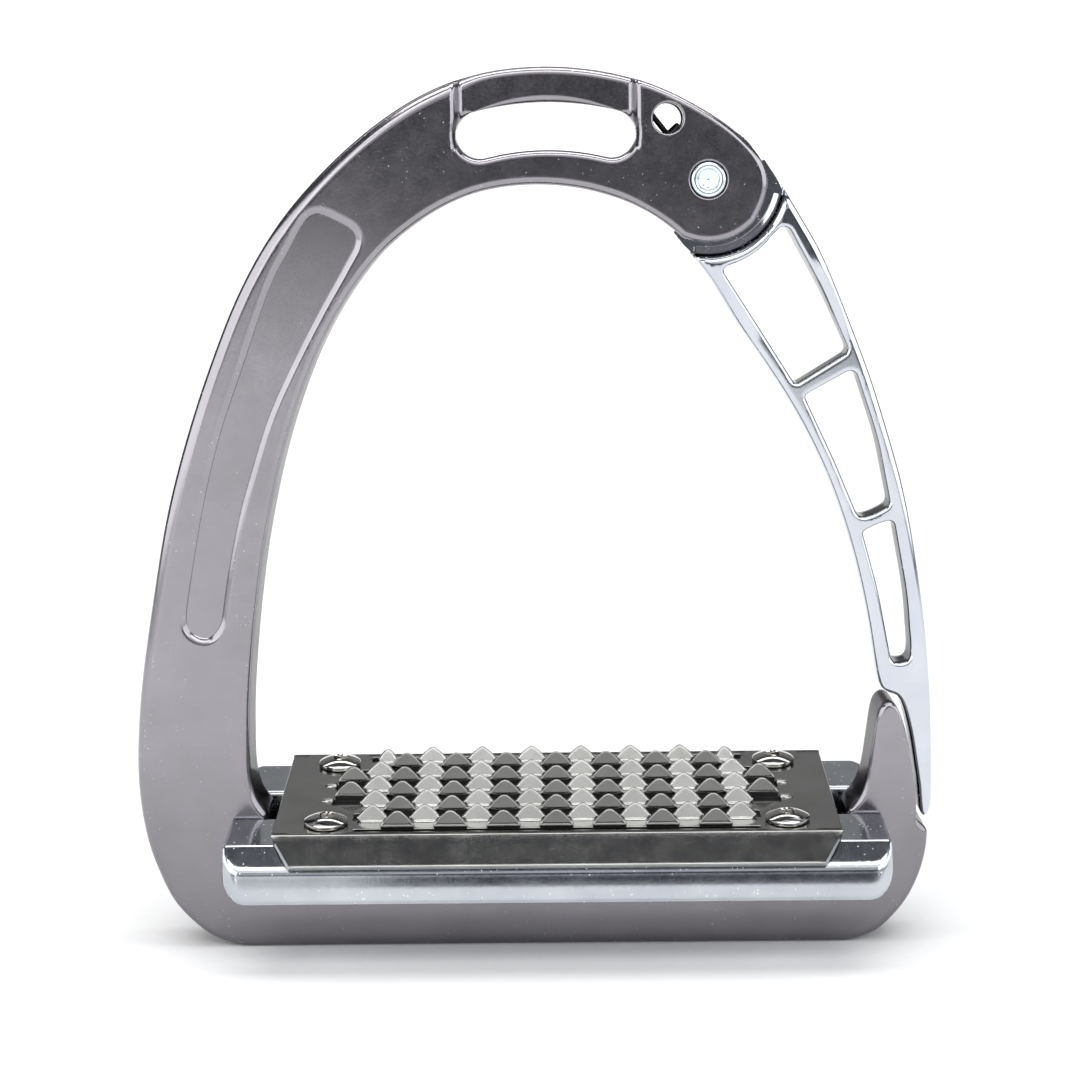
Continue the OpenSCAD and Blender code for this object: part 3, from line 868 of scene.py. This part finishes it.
def tooth_shape(half, height, foot, apex, edge=0.3):
    """One flat tooth with rounded edges, before it is bent."""
    outer = gable(half, height, foot, apex)
    if area(outer) < 0:
        outer = outer[::-1]
    rows = lattice(np.linspace(0.5 - half, half - 0.5, 7), np.linspace(-1.1, 1.1, 12))
    radius = np.full(len(outer), edge)
    plate = Plate([outer], [radius], TOOTH_THICK / 2, None, 0.9, rows)
    h = plate.height(plate.flat)
    x, y = plate.flat.T
    rim = plate.height(outer)
    n = len(outer)
    verts = [(outer[i, 0], outer[i, 1], s * rim[i]) for s in (-1, 1) for i in range(n)]
    return join([(np.stack([x, y, h], 1), plate.tris),
                 (np.stack([x, y, -h], 1), plate.tris[:, ::-1]),
                 (verts, bands(2, n))])


def bent(shape, x0, v0, way, lean):
    """A tooth bent up out of its strand: way is +1 at a strand's rear edge and -1 at its front."""
    verts, faces = shape
    p = np.array(verts)
    full = math.radians(90 - lean)
    radius = TOOTH_THICK / 2 + 0.55
    arc_len = radius * full
    s = p[:, 1] + TAIL
    a = np.clip(s / arc_len, 0, 1) * full
    rest = np.maximum(s - arc_len, 0)
    run = radius * np.sin(a) + rest * math.cos(full)
    rise = radius * (1 - np.cos(a)) + rest * math.sin(full)
    off = p[:, 2]
    set_back = 0.75
    v = v0 + way * (run - off * np.sin(a) - set_back)
    h = PLATE_TOP - TOOTH_THICK / 2 + rise + off * np.cos(a)
    out = np.stack([p[:, 0] + x0, v, h], 1)
    return out, (faces if way > 0 else [f[::-1] for f in faces])


def build_plate():
    """The plate: flat, flanges, eight teeth behind each strand and seven or nine before it."""
    parts = [flat_sheet(), flange(-1), flange(1)]
    rear = tooth_shape(3.1, 3.0, 2.5, 0.95, 0.42)
    front = tooth_shape(3.3, 3.15, 3.2, 1.6)
    short = tooth_shape(2.0, 2.6, 1.7, 0.95, 0.42)
    edge = STRAND / 2 - 0.45
    short_x = 34.6
    for k in range(ROWS):
        for i in range(8):
            x = (i - 3.5) * TOOTH_PITCH
            if k == ROWS - 1 and abs(x) > short_x:
                parts.append(bent(short, math.copysign(short_x, x), row_v(k) + edge, 1, REAR_LEAN))
            else:
                parts.append(bent(rear, x, row_v(k) + edge, 1, REAR_LEAN))
        last = 4 if k in (2, 3) else 3
        for i in range(-last, last + 1):
            parts.append(bent(front, i * TOOTH_PITCH, row_v(k) - edge, -1, FRONT_LEAN))
    verts, faces = join(parts)
    return make("plate_skin", on_tread(verts), faces)


# ---------- turned parts ----------
def lathe(profile, turns=48):
    """A turned part from (radius, height) points; a radius of 0 closes it."""
    verts, faces, rings = [], [], []
    for r, h in profile:
        if r < 1e-6:
            rings.append([len(verts)])
            verts.append((0, 0, h))
        else:
            rings.append(list(range(len(verts), len(verts) + turns)))
            verts += [(r * math.cos(2 * math.pi * i / turns),
                       r * math.sin(2 * math.pi * i / turns), h) for i in range(turns)]
    for a, b in zip(rings, rings[1:]):
        for i in range(turns):
            j = (i + 1) % turns
            if len(a) == 1:
                faces.append((a[0], b[j], b[i]))
            elif len(b) == 1:
                faces.append((a[i], a[j], b[0]))
            else:
                faces.append((a[i], a[j], b[j], b[i]))
    return verts, faces


def hexed(verts, low, high, across):
    """Turn the round walls of a socket between two heights into six flats."""
    out = []
    for x, y, h in verts:
        r = math.hypot(x, y)
        if low - 1e-6 <= h <= high + 1e-6 and 1e-6 < r <= across * 1.01:
            a = (math.atan2(y, x) + math.pi / 6) % (math.pi / 3) - math.pi / 6
            k = math.cos(math.pi / 6) / math.cos(a)
            x, y = x * k, y * k
        out.append((x, y, h))
    return out


def build_grip_screw(name, across, back):
    """A domed button screw with a hexagon socket, at a place on the tread."""
    head, tall, rim, socket = 4.25, 1.85, 0.72, 1.5
    ball = (head * head + (tall - rim) ** 2) / (2 * (tall - rim))
    dome = []
    for i in range(11):
        r = head - 0.12 + (socket + 0.3 - head) * i / 10
        dome.append((r, tall - ball + math.sqrt(ball * ball - r * r)))
    top = dome[-1][1]
    profile = [(0, -7.9), (1.7, -7.9), (2.0, -7.6), (2.0, 0.0), (4.0, 0.0), (4.2, 0.06)]
    profile += [(head, 0.16), (head, rim - 0.06), (head - 0.04, rim)] + dome
    profile += [(socket, top - 0.14), (socket, 0.75), (socket * 0.9, 0.62), (0, 0.5)]
    verts, faces = lathe(profile)
    verts = hexed(verts, 0.55, top - 0.1, socket)
    moved = [(x + across, y + back, h + PLATE_TOP) for x, y, h in verts]
    return make(name + "_skin", on_tread(moved), faces, 30)


SLEEVE_FACE, SCREW_FACE = -6.68, 6.58  # where the two heads' faces stand in depth


def across_y(verts, sign, at):
    """Turned parts stand on the Y axis at the pivot, heads towards sign * Y."""
    return [(PIVOT[0] + x, at + sign * h, PIVOT[1] + y) for x, y, h in verts]


def build_sleeve():
    """The barrel nut: a flanged head with a stepped recess and the barrel behind it."""
    profile = [(0, -1.5), (0.18, -1.48), (0.24, -1.3), (1.55, -0.72), (1.68, -0.62),
               (1.9, -0.58), (2.0, -0.45), (2.1, -0.22), (2.28, -0.07), (2.5, -0.01), (2.7, 0.0),
               (2.95, -0.06), (3.18, -0.22), (3.34, -0.48), (3.42, -0.8), (3.42, -1.25),
               (2.5, -1.3), (2.5, -12.0), (1.55, -12.0), (1.55, -4.0), (0, -4.0)]
    verts, faces = lathe(profile, 64)
    return make("pivot_sleeve_skin", across_y(verts, -1, SLEEVE_FACE), faces, 32)


def build_pivot_screw():
    """The screw behind: a flanged head with a hexagon socket."""
    profile = [(0, -0.9), (1.05, -0.8), (1.15, -0.7), (1.15, -0.12), (1.28, -0.02), (1.4, 0.0),
               (2.7, 0.0), (3.1, -0.08), (3.32, -0.3), (3.38, -0.55), (3.38, -1.15),
               (1.5, -1.18), (1.5, -9.3), (0, -9.4)]
    verts, faces = lathe(profile, 60)
    verts = hexed(verts, -0.85, -0.1, 1.15)
    return make("pivot_screw_skin", across_y(verts, 1, SCREW_FACE), faces, 32)


# ---------- spring ----------
WIRE_R = 0.539                        # just under the CAD wire's radius
COIL_R = 4.6
COIL_HALF = 1.75                      # half the coil's depth, between wire centres
COIL_IN, COIL_OUT = 225.0, 184.9      # where the legs leave the coil, in degrees
TURNS = 3
LEG = 15.0                            # length of the leg on the arm
# The end of the frame's leg and its hook, inside the clevis behind the service hole
HOOK = [(28.6, 1.75, 159.9), (26.6, -0.6, 158.1), (23.3, -0.6, 162.25)]


def spring_points():
    """The wire's centre line: the arm's leg, the coil, the frame's leg and its hook."""
    def on_coil(a, y):
        a = math.radians(a)
        return np.array([PIVOT[0] + COIL_R * math.cos(a), y, PIVOT[1] + COIL_R * math.sin(a)])

    away = np.array([1, 0, -1]) / math.sqrt(2)
    start, end = on_coil(COIL_IN, -COIL_HALF), on_coil(COIL_OUT, COIL_HALF)
    sweep, steps = COIL_IN - COIL_OUT + 360 * TURNS, 28 * TURNS
    pts = [start + away * d for d in (LEG, LEG * 0.6, LEG * 0.25, 1.0)]
    for i in range(steps + 1):
        y = -COIL_HALF + 2 * COIL_HALF * i / steps
        pts.append(on_coil(COIL_IN - sweep * i / steps, y))
    h = [np.array(p) for p in HOOK]
    pts += [end + (h[0] - end) * t for t in (0.12, 0.4, 0.7, 0.92)]
    for a, b, c in ((h[0] + (end - h[0]) * 0.04, h[0], h[1]), (h[0], h[1], h[2])):
        before = b + (a - b) / np.linalg.norm(a - b) * 0.45
        after = b + (c - b) / np.linalg.norm(c - b) * 0.45
        pts += [before * (1 - t) ** 2 + 2 * b * t * (1 - t) + after * t ** 2
                for t in (0.1, 0.35, 0.65, 0.9)]
        pts.append((after + c) / 2 if c is h[2] else after + (c - after) * 0.4)
    pts.append(h[2])
    return np.array(pts)


def tube(points, radius, sides=14):
    """A round wire along a line of points, with rounded ends."""
    d = np.gradient(points, axis=0)
    d /= np.linalg.norm(d, axis=1)[:, None]
    normal = np.cross(d[0], (0, 1, 0))
    verts = []
    ring = [(points[0] - d[0] * radius * 0.15, d[0], 0.75)]
    ring += [(p, t, 1.0) for p, t in zip(points, d)]
    ring += [(points[-1] + d[-1] * radius * 0.15, d[-1], 0.75)]
    for p, t, k in ring:
        normal = normal - t * normal.dot(t)
        normal /= np.linalg.norm(normal)
        side = np.cross(t, normal)
        verts += [p + k * radius * (math.cos(a) * normal + math.sin(a) * side)
                  for a in np.arange(sides) * 2 * math.pi / sides]
    last = (len(ring) - 1) * sides
    ends = [tuple(range(sides))[::-1], tuple(range(last, last + sides))]
    return verts, bands(len(ring), sides) + ends


def build_spring():
    """The torsion spring's wire."""
    return make("spring_skin", *tube(spring_points(), WIRE_R), 50)


# ---------- materials ----------
def shader(name):
    """A new material, its tree and its shader node."""
    mat = bpy.data.materials.new(name)
    mat.use_nodes = True
    tree = mat.node_tree
    return mat, tree, tree.nodes["Principled BSDF"]


def add(tree, kind, **settings):
    """A node of a kind, its inputs or properties set by name."""
    node = tree.nodes.new(kind)
    for key, value in settings.items():
        if key in node.inputs:
            node.inputs[key].default_value = value
        else:
            setattr(node, key, value)
    return node


def coordinates(tree, scale=(1, 1, 1)):
    """Object coordinates, in metres, stretched by a scale."""
    where = add(tree, "ShaderNodeTexCoord")
    mapping = add(tree, "ShaderNodeMapping", Scale=scale)
    tree.links.new(where.outputs["Object"], mapping.inputs["Vector"])
    return mapping.outputs["Vector"]


def noise(tree, vector, scale, detail=4.0, roughness=0.55):
    """Smooth noise from 0 to 1."""
    node = add(tree, "ShaderNodeTexNoise", Scale=scale, Detail=detail, Roughness=roughness)
    tree.links.new(vector, node.inputs["Vector"])
    return node.outputs["Fac"]


def ramp(tree, value, stops):
    """A colour ramp of (place, colour) stops."""
    node = add(tree, "ShaderNodeValToRGB")
    band = node.color_ramp
    while len(band.elements) < len(stops):
        band.elements.new(0.5)
    for element, (at, colour) in zip(band.elements, stops):
        element.position = at
        element.color = (*colour, 1)
    tree.links.new(value, node.inputs["Fac"])
    return node.outputs["Color"]


def between_values(tree, value, low, high, out_low, out_high):
    """A value carried from one range to another, and kept within it."""
    node = add(tree, "ShaderNodeMapRange")
    for key, number in (("From Min", low), ("From Max", high), ("To Min", out_low),
                        ("To Max", out_high)):
        node.inputs[key].default_value = number
    tree.links.new(value, node.inputs["Value"])
    return node.outputs["Result"]


def blend_colours(tree, factor, a, b, kind="MIX"):
    """Two colours mixed or multiplied, each a socket or a constant."""
    node = add(tree, "ShaderNodeMix", data_type="RGBA", blend_type=kind)
    tree.links.new(factor, node.inputs[0])
    for socket, value in ((node.inputs[6], a), (node.inputs[7], b)):
        if isinstance(value, tuple):
            socket.default_value = (*value, 1)
        else:
            tree.links.new(value, socket)
    return node.outputs[2]


def bump(tree, heights, strength, distance):
    """Several height fields, each with a strength, chained into one normal."""
    last = None
    for value, amount in heights:
        node = add(tree, "ShaderNodeBump", Strength=strength * amount, Distance=distance)
        tree.links.new(value, node.inputs["Height"])
        if last is not None:
            tree.links.new(last, node.inputs["Normal"])
        last = node.outputs["Normal"]
    return last


def combined(tree, operation, a, b):
    """Two values added or multiplied."""
    node = add(tree, "ShaderNodeMath", operation=operation)
    tree.links.new(a, node.inputs[0])
    tree.links.new(b, node.inputs[1])
    return node.outputs[0]


def specks(tree, vector, scale, size):
    """Tiny scattered points: 1 on a speck, 0 elsewhere."""
    cells = add(tree, "ShaderNodeTexVoronoi", Scale=scale)
    tree.links.new(vector, cells.inputs["Vector"])
    near = between_values(tree, cells.outputs["Distance"], size, size * 0.4, 0.0, 1.0)
    chosen = between_values(tree, cells.outputs["Color"], 0.6, 0.66, 0.0, 1.0)
    return combined(tree, "MULTIPLY", near, chosen)


def from_foot(tree, height):
    """0 at the ground, 1 from a height upwards."""
    where = add(tree, "ShaderNodeTexCoord")
    parts = add(tree, "ShaderNodeSeparateXYZ")
    tree.links.new(where.outputs["Object"], parts.inputs["Vector"])
    return between_values(tree, parts.outputs["Z"], 0.0, height, 0.0, 1.0)


def metal(name, dark, light, rough, grain, scratch=0.25, speck=0.0, brushed=(60, 60, 2600),
          foot=None, wall_shade=None):
    """A worked metal: mottled colour, uneven polish, fine grain, hairlines, and white specks that
    are painted glints over small bumps.

    foot is a height and a share of the colour at the ground: painted shade, darker towards the
    bottom. The wall share darkens the colour of the marked walls and greys their specular tint:
    painted shade.
    """
    mat, tree, out = shader(name)
    out.inputs["Metallic"].default_value = 1.0
    plain = coordinates(tree)
    cloud = noise(tree, plain, 90, 3)
    fine = noise(tree, plain, 2600, 2)
    colour = ramp(tree, cloud, [(0.3, dark), (0.7, light)])
    # painted shade: a darker copy of the colour is blended in towards the ground
    if foot:
        reach, share = foot
        painted_shade_copy = ramp(tree, cloud, [(0.3, tuple(share * c for c in dark)),
                                  (0.7, tuple(share * c for c in light))])
        colour = blend_colours(tree, from_foot(tree, reach), painted_shade_copy, colour)
    # painted shade: the marked walls' colour is multiplied down and their specular tint greyed
    if wall_shade:
        marked = add(tree, "ShaderNodeAttribute", attribute_name="painted_shade_walls")
        colour = blend_colours(tree, marked.outputs["Fac"], colour, (wall_shade, wall_shade, wall_shade),
                               "MULTIPLY")
        dimmed_wall_tint = blend_colours(tree, marked.outputs["Fac"], (1.0, 1.0, 1.0), (0.5, 0.5, 0.5))
        tree.links.new(dimmed_wall_tint, out.inputs["Specular Tint"])
    # painted glints: white non-metal dots stand in for sparkle, over small real bumps in the normal
    if speck:
        glint_dots = specks(tree, plain, 1150, 0.2)
        colour = blend_colours(tree, between_values(tree, glint_dots, 0, 1, 0, speck), colour,
                               (1.0, 1.0, 1.0))
        tree.links.new(between_values(tree, glint_dots, 0, 1, 1, 0), out.inputs["Metallic"])
    tree.links.new(colour, out.inputs["Base Color"])
    lines = noise(tree, coordinates(tree, brushed), 1.0, 3)
    wear = noise(tree, plain, 260, 5, 0.7)
    worn = combined(tree, "ADD", wear, fine)
    tree.links.new(between_values(tree, worn, 0.75, 1.3, rough[0], rough[1]),
                   out.inputs["Roughness"])
    fields = [(fine, grain), (lines, scratch)]
    if speck:
        fields.append((glint_dots, 0.8))
    tree.links.new(bump(tree, fields, 0.12, 0.00004), out.inputs["Normal"])
    return mat


def plastic(name, dark, light, rough, pebbles):
    """A moulded polymer or rubber with a fine pebbled skin."""
    mat, tree, out = shader(name)
    plain = coordinates(tree)
    tree.links.new(ramp(tree, noise(tree, plain, 300, 4), [(0.3, dark), (0.72, light)]),
                   out.inputs["Base Color"])
    skin = noise(tree, plain, pebbles, 3)
    tree.links.new(between_values(tree, skin, 0.3, 0.7, rough[0], rough[1]),
                   out.inputs["Roughness"])
    tree.links.new(bump(tree, [(skin, 1.0)], 0.5, 0.00008), out.inputs["Normal"])
    out.inputs["Specular IOR Level"].default_value = 0.4
    return mat


def finishes():
    """A material for each of the record's slots."""
    return {
        # painted shade: the frame's colour darkens towards the ground and on its marked outer walls
        "anodised_frame": metal("anodised", (0.300, 0.286, 0.308), (0.338, 0.322, 0.348),
                                (0.14, 0.22), 0.5, 0.15, 0.3, foot=(0.045, 0.58), wall_shade=0.5),
        # painted shade: the arm's marked walls are darker
        "polished_arm": metal("arm_polish", (0.57, 0.595, 0.655), (0.63, 0.655, 0.705),
                              (0.07, 0.15), 0.5, 0.25, 0.5, wall_shade=0.3),
        # painted glints: the frame, arm and bed carry white specks
        "polished_bed": metal("bed_polish", (0.45, 0.475, 0.515), (0.55, 0.575, 0.615),
                              (0.08, 0.16), 0.7, 0.4, 0.7, (2200, 60, 60)),
        "plated_pivot": metal("zinc_plate", (0.62, 0.72, 0.80), (0.78, 0.85, 0.91),
                              (0.12, 0.22), 0.5, 0.2),
        "black_spring": metal("black_wire", (0.012, 0.012, 0.014), (0.03, 0.03, 0.033),
                              (0.18, 0.34), 0.6, 0.4),
        "steel_screw": metal("zinc_steel", (0.42, 0.43, 0.44), (0.55, 0.56, 0.57),
                             (0.2, 0.34), 0.7, 0.3),
        "stainless_plate": metal("brushed_stainless", (0.29, 0.29, 0.28), (0.36, 0.36, 0.348),
                                 (0.10, 0.17), 0.3, 0.3, 0.0, (40, 1600, 1600)),
        "polished_screw": metal("screw_polish", (0.44, 0.43, 0.41), (0.54, 0.53, 0.51),
                                (0.06, 0.12), 0.4, 0.2),
        "black_pad": plastic("elastomer", (0.010, 0.010, 0.011), (0.022, 0.022, 0.024),
                             (0.55, 0.8), 1500),
        "polymer_washer": plastic("washer_polymer", (0.014, 0.015, 0.018),
                                  (0.028, 0.03, 0.034), (0.35, 0.55), 900),
    }


# ---------- assembling ----------
def finish_piece(obj, looks, slot):
    """Give a piece its slot's material."""
    obj.data.materials.clear()
    obj.data.materials.append(looks[slot])


def assemble():
    """The built pieces on their bodies in place of their CAD nodes, the spring in place of its node,
    and every piece with its finish.
    """
    looks = finishes()
    made = [
        (build_frame(), "frame_body", "frame", "anodised_frame"),
        (build_arm(), "arm_body", "safety_arm", "polished_arm"),
        (build_bed(), "frame_body", "tread_bed", "polished_bed"),
        (build_plate(), "frame_body", "grip_plate", "stainless_plate"),
        (build_sleeve(), "frame_body", "pivot_sleeve", "plated_pivot"),
        (build_pivot_screw(), "frame_body", "pivot_screw", "steel_screw"),
    ]
    for name, (across, back) in zip(SCREW_NAMES, SCREWS):
        node = "grip_screw_" + name
        made.append((build_grip_screw(node, across, back), "frame_body", node, "polished_screw"))
    for obj, body, node, slot in made:
        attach(obj, body)
        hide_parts(node)
        finish_piece(obj, looks, slot)
    spring = build_spring()
    finish_piece(spring, looks, "black_spring")
    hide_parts("torsion_spring")
    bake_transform(spring)
    kept = {"grip_pad": "black_pad", "thrust_washer_front": "polymer_washer",
            "thrust_washer_rear": "polymer_washer", "bed_screw_left": "steel_screw",
            "bed_screw_right": "steel_screw"}
    for node, slot in kept.items():
        finish_piece(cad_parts[node], looks, slot)


# ---------- studio ----------
def stage_mesh(name, verts, faces, tone):
    """A matt piece of the studio: paper or card of one tone."""
    mesh = bpy.data.meshes.new(name)
    mesh.from_pydata(verts, [], faces)
    mesh.shade_smooth()
    put(name, mesh)
    mat, tree, out = shader(name)
    low, high = tone - 0.008, tone + 0.008
    tree.links.new(ramp(tree, noise(tree, coordinates(tree), 400, 3),
                        [(0.3, (low, low, low)), (0.7, (high, high, high))]),
                   out.inputs["Base Color"])
    out.inputs["Roughness"].default_value = 0.9
    mesh.materials.append(mat)


def backdrop():
    """A wide pale floor, a low paper curve behind the iron and a grey card above it."""
    far = 8.0
    stage_mesh("floor", [(-far, -far, 0), (far, -far, 0), (far, far, 0), (-far, far, 0)],
               [(0, 1, 2, 3)], 0.87)
    wide, back, curve, high = 0.6, 1.0, 0.16, 0.25
    line = [(back - curve - 0.3, -0.002)]
    line += [(back - curve + curve * math.sin(a), 0.0004 + curve - curve * math.cos(a))
             for a in [math.radians(9 * i) for i in range(11)]]
    line.append((back, high))
    verts = [(x, y, z) for y, z in line for x in (-wide, wide)]
    faces = [(2 * i, 2 * i + 1, 2 * i + 3, 2 * i + 2) for i in range(len(line) - 1)]
    stage_mesh("paper_curve", verts, faces, 0.87)
    y, low, top = back + 0.02, high - 0.02, 1.1
    stage_mesh("grey_card", [(-1.2, y, low), (1.2, y, low), (1.2, y, top), (-1.2, y, top)],
               [(0, 1, 2, 3)], 0.16)


def soft_light(name, place, aim, size, radiance, tint=(1, 1, 1)):
    """An area light of a given brightness to the eye."""
    light = bpy.data.lights.new(name, "AREA")
    light.shape = "RECTANGLE"
    light.size, light.size_y = size
    light.energy = radiance * math.pi * size[0] * size[1]
    light.color = tint
    obj = put(name, light)
    obj.location = place
    obj.rotation_euler = (Vector(aim) - Vector(place)).to_track_quat("-Z", "Y").to_euler()


def studio():
    """Soft panels round the iron, each seen in one of its faces."""
    world = bpy.data.worlds.new("studio")
    bpy.context.scene.world = world
    world.use_nodes = True
    sky = world.node_tree.nodes["Background"]
    sky.inputs["Color"].default_value = (0.085, 0.089, 0.098, 1)
    sky.inputs["Strength"].default_value = 1.0
    soft_light("high", (0, -0.72, 0.96), (0, 0, 0.03), (1.6, 0.34), 3.1)
    soft_light("low", (0, -0.98, 0.76), (0, 0, 0.03), (1.6, 0.29), 1.25)
    soft_light("fill", (0, -1.5, 0.58), (0, 0, 0.03), (2.4, 0.45), 0.55)
    soft_light("branch", (-0.40, -1.0, 0.058), (-0.1, 0, 0.1), (0.6, 0.11), 0.85)
    soft_light("key", (0, -0.04, 1.15), (0, -0.04, 0.0), (1.4, 0.5), 4.2)
    soft_light("left", (-1.0, -0.45, 0.42), (0, 0, 0.09), (1.9, 0.75), 2.1)
    soft_light("right", (1.0, -0.45, 0.42), (0, 0, 0.09), (1.9, 0.75), 1.9, (0.96, 0.98, 1.0))
    soft_light("paper", (0, 0.45, 0.75), (0, 1.0, 0.12), (1.3, 0.3), 3.9)
    bpy.context.scene.view_settings.view_transform = "Standard"


def camera():
    """A long lens in front of the iron, a little above it and looking down."""
    yaw, fall, roll = math.radians(0.48), math.radians(9.2), math.radians(0.66)
    ahead = np.array([-math.sin(yaw) * math.cos(fall), math.cos(yaw) * math.cos(fall),
                      -math.sin(fall)])
    right = np.cross(ahead, (0, 0, 1))
    right /= np.linalg.norm(right)
    up = np.cross(right, ahead)
    r = right * math.cos(roll) - up * math.sin(roll)
    u = up * math.cos(roll) + right * math.sin(roll)
    aim, distance = np.array([1.8, -6.5, 86.0]), 462.0
    aside, above = 0.0004166667, 0.0101666667     # the aim off the view's middle, as tangents
    place = aim - distance * (ahead + r * aside + u * above)
    lens = bpy.data.cameras.new("camera")
    lens.sensor_width = 36
    lens.lens = 80
    lens.clip_start = 0.01
    cam = put("camera", lens)
    turn = Matrix((r, u, -ahead)).transposed().to_4x4()
    turn.translation = [float(c) * MM for c in place]
    cam.matrix_world = turn
    bpy.context.scene.camera = cam


assemble()
backdrop()
studio()
camera()
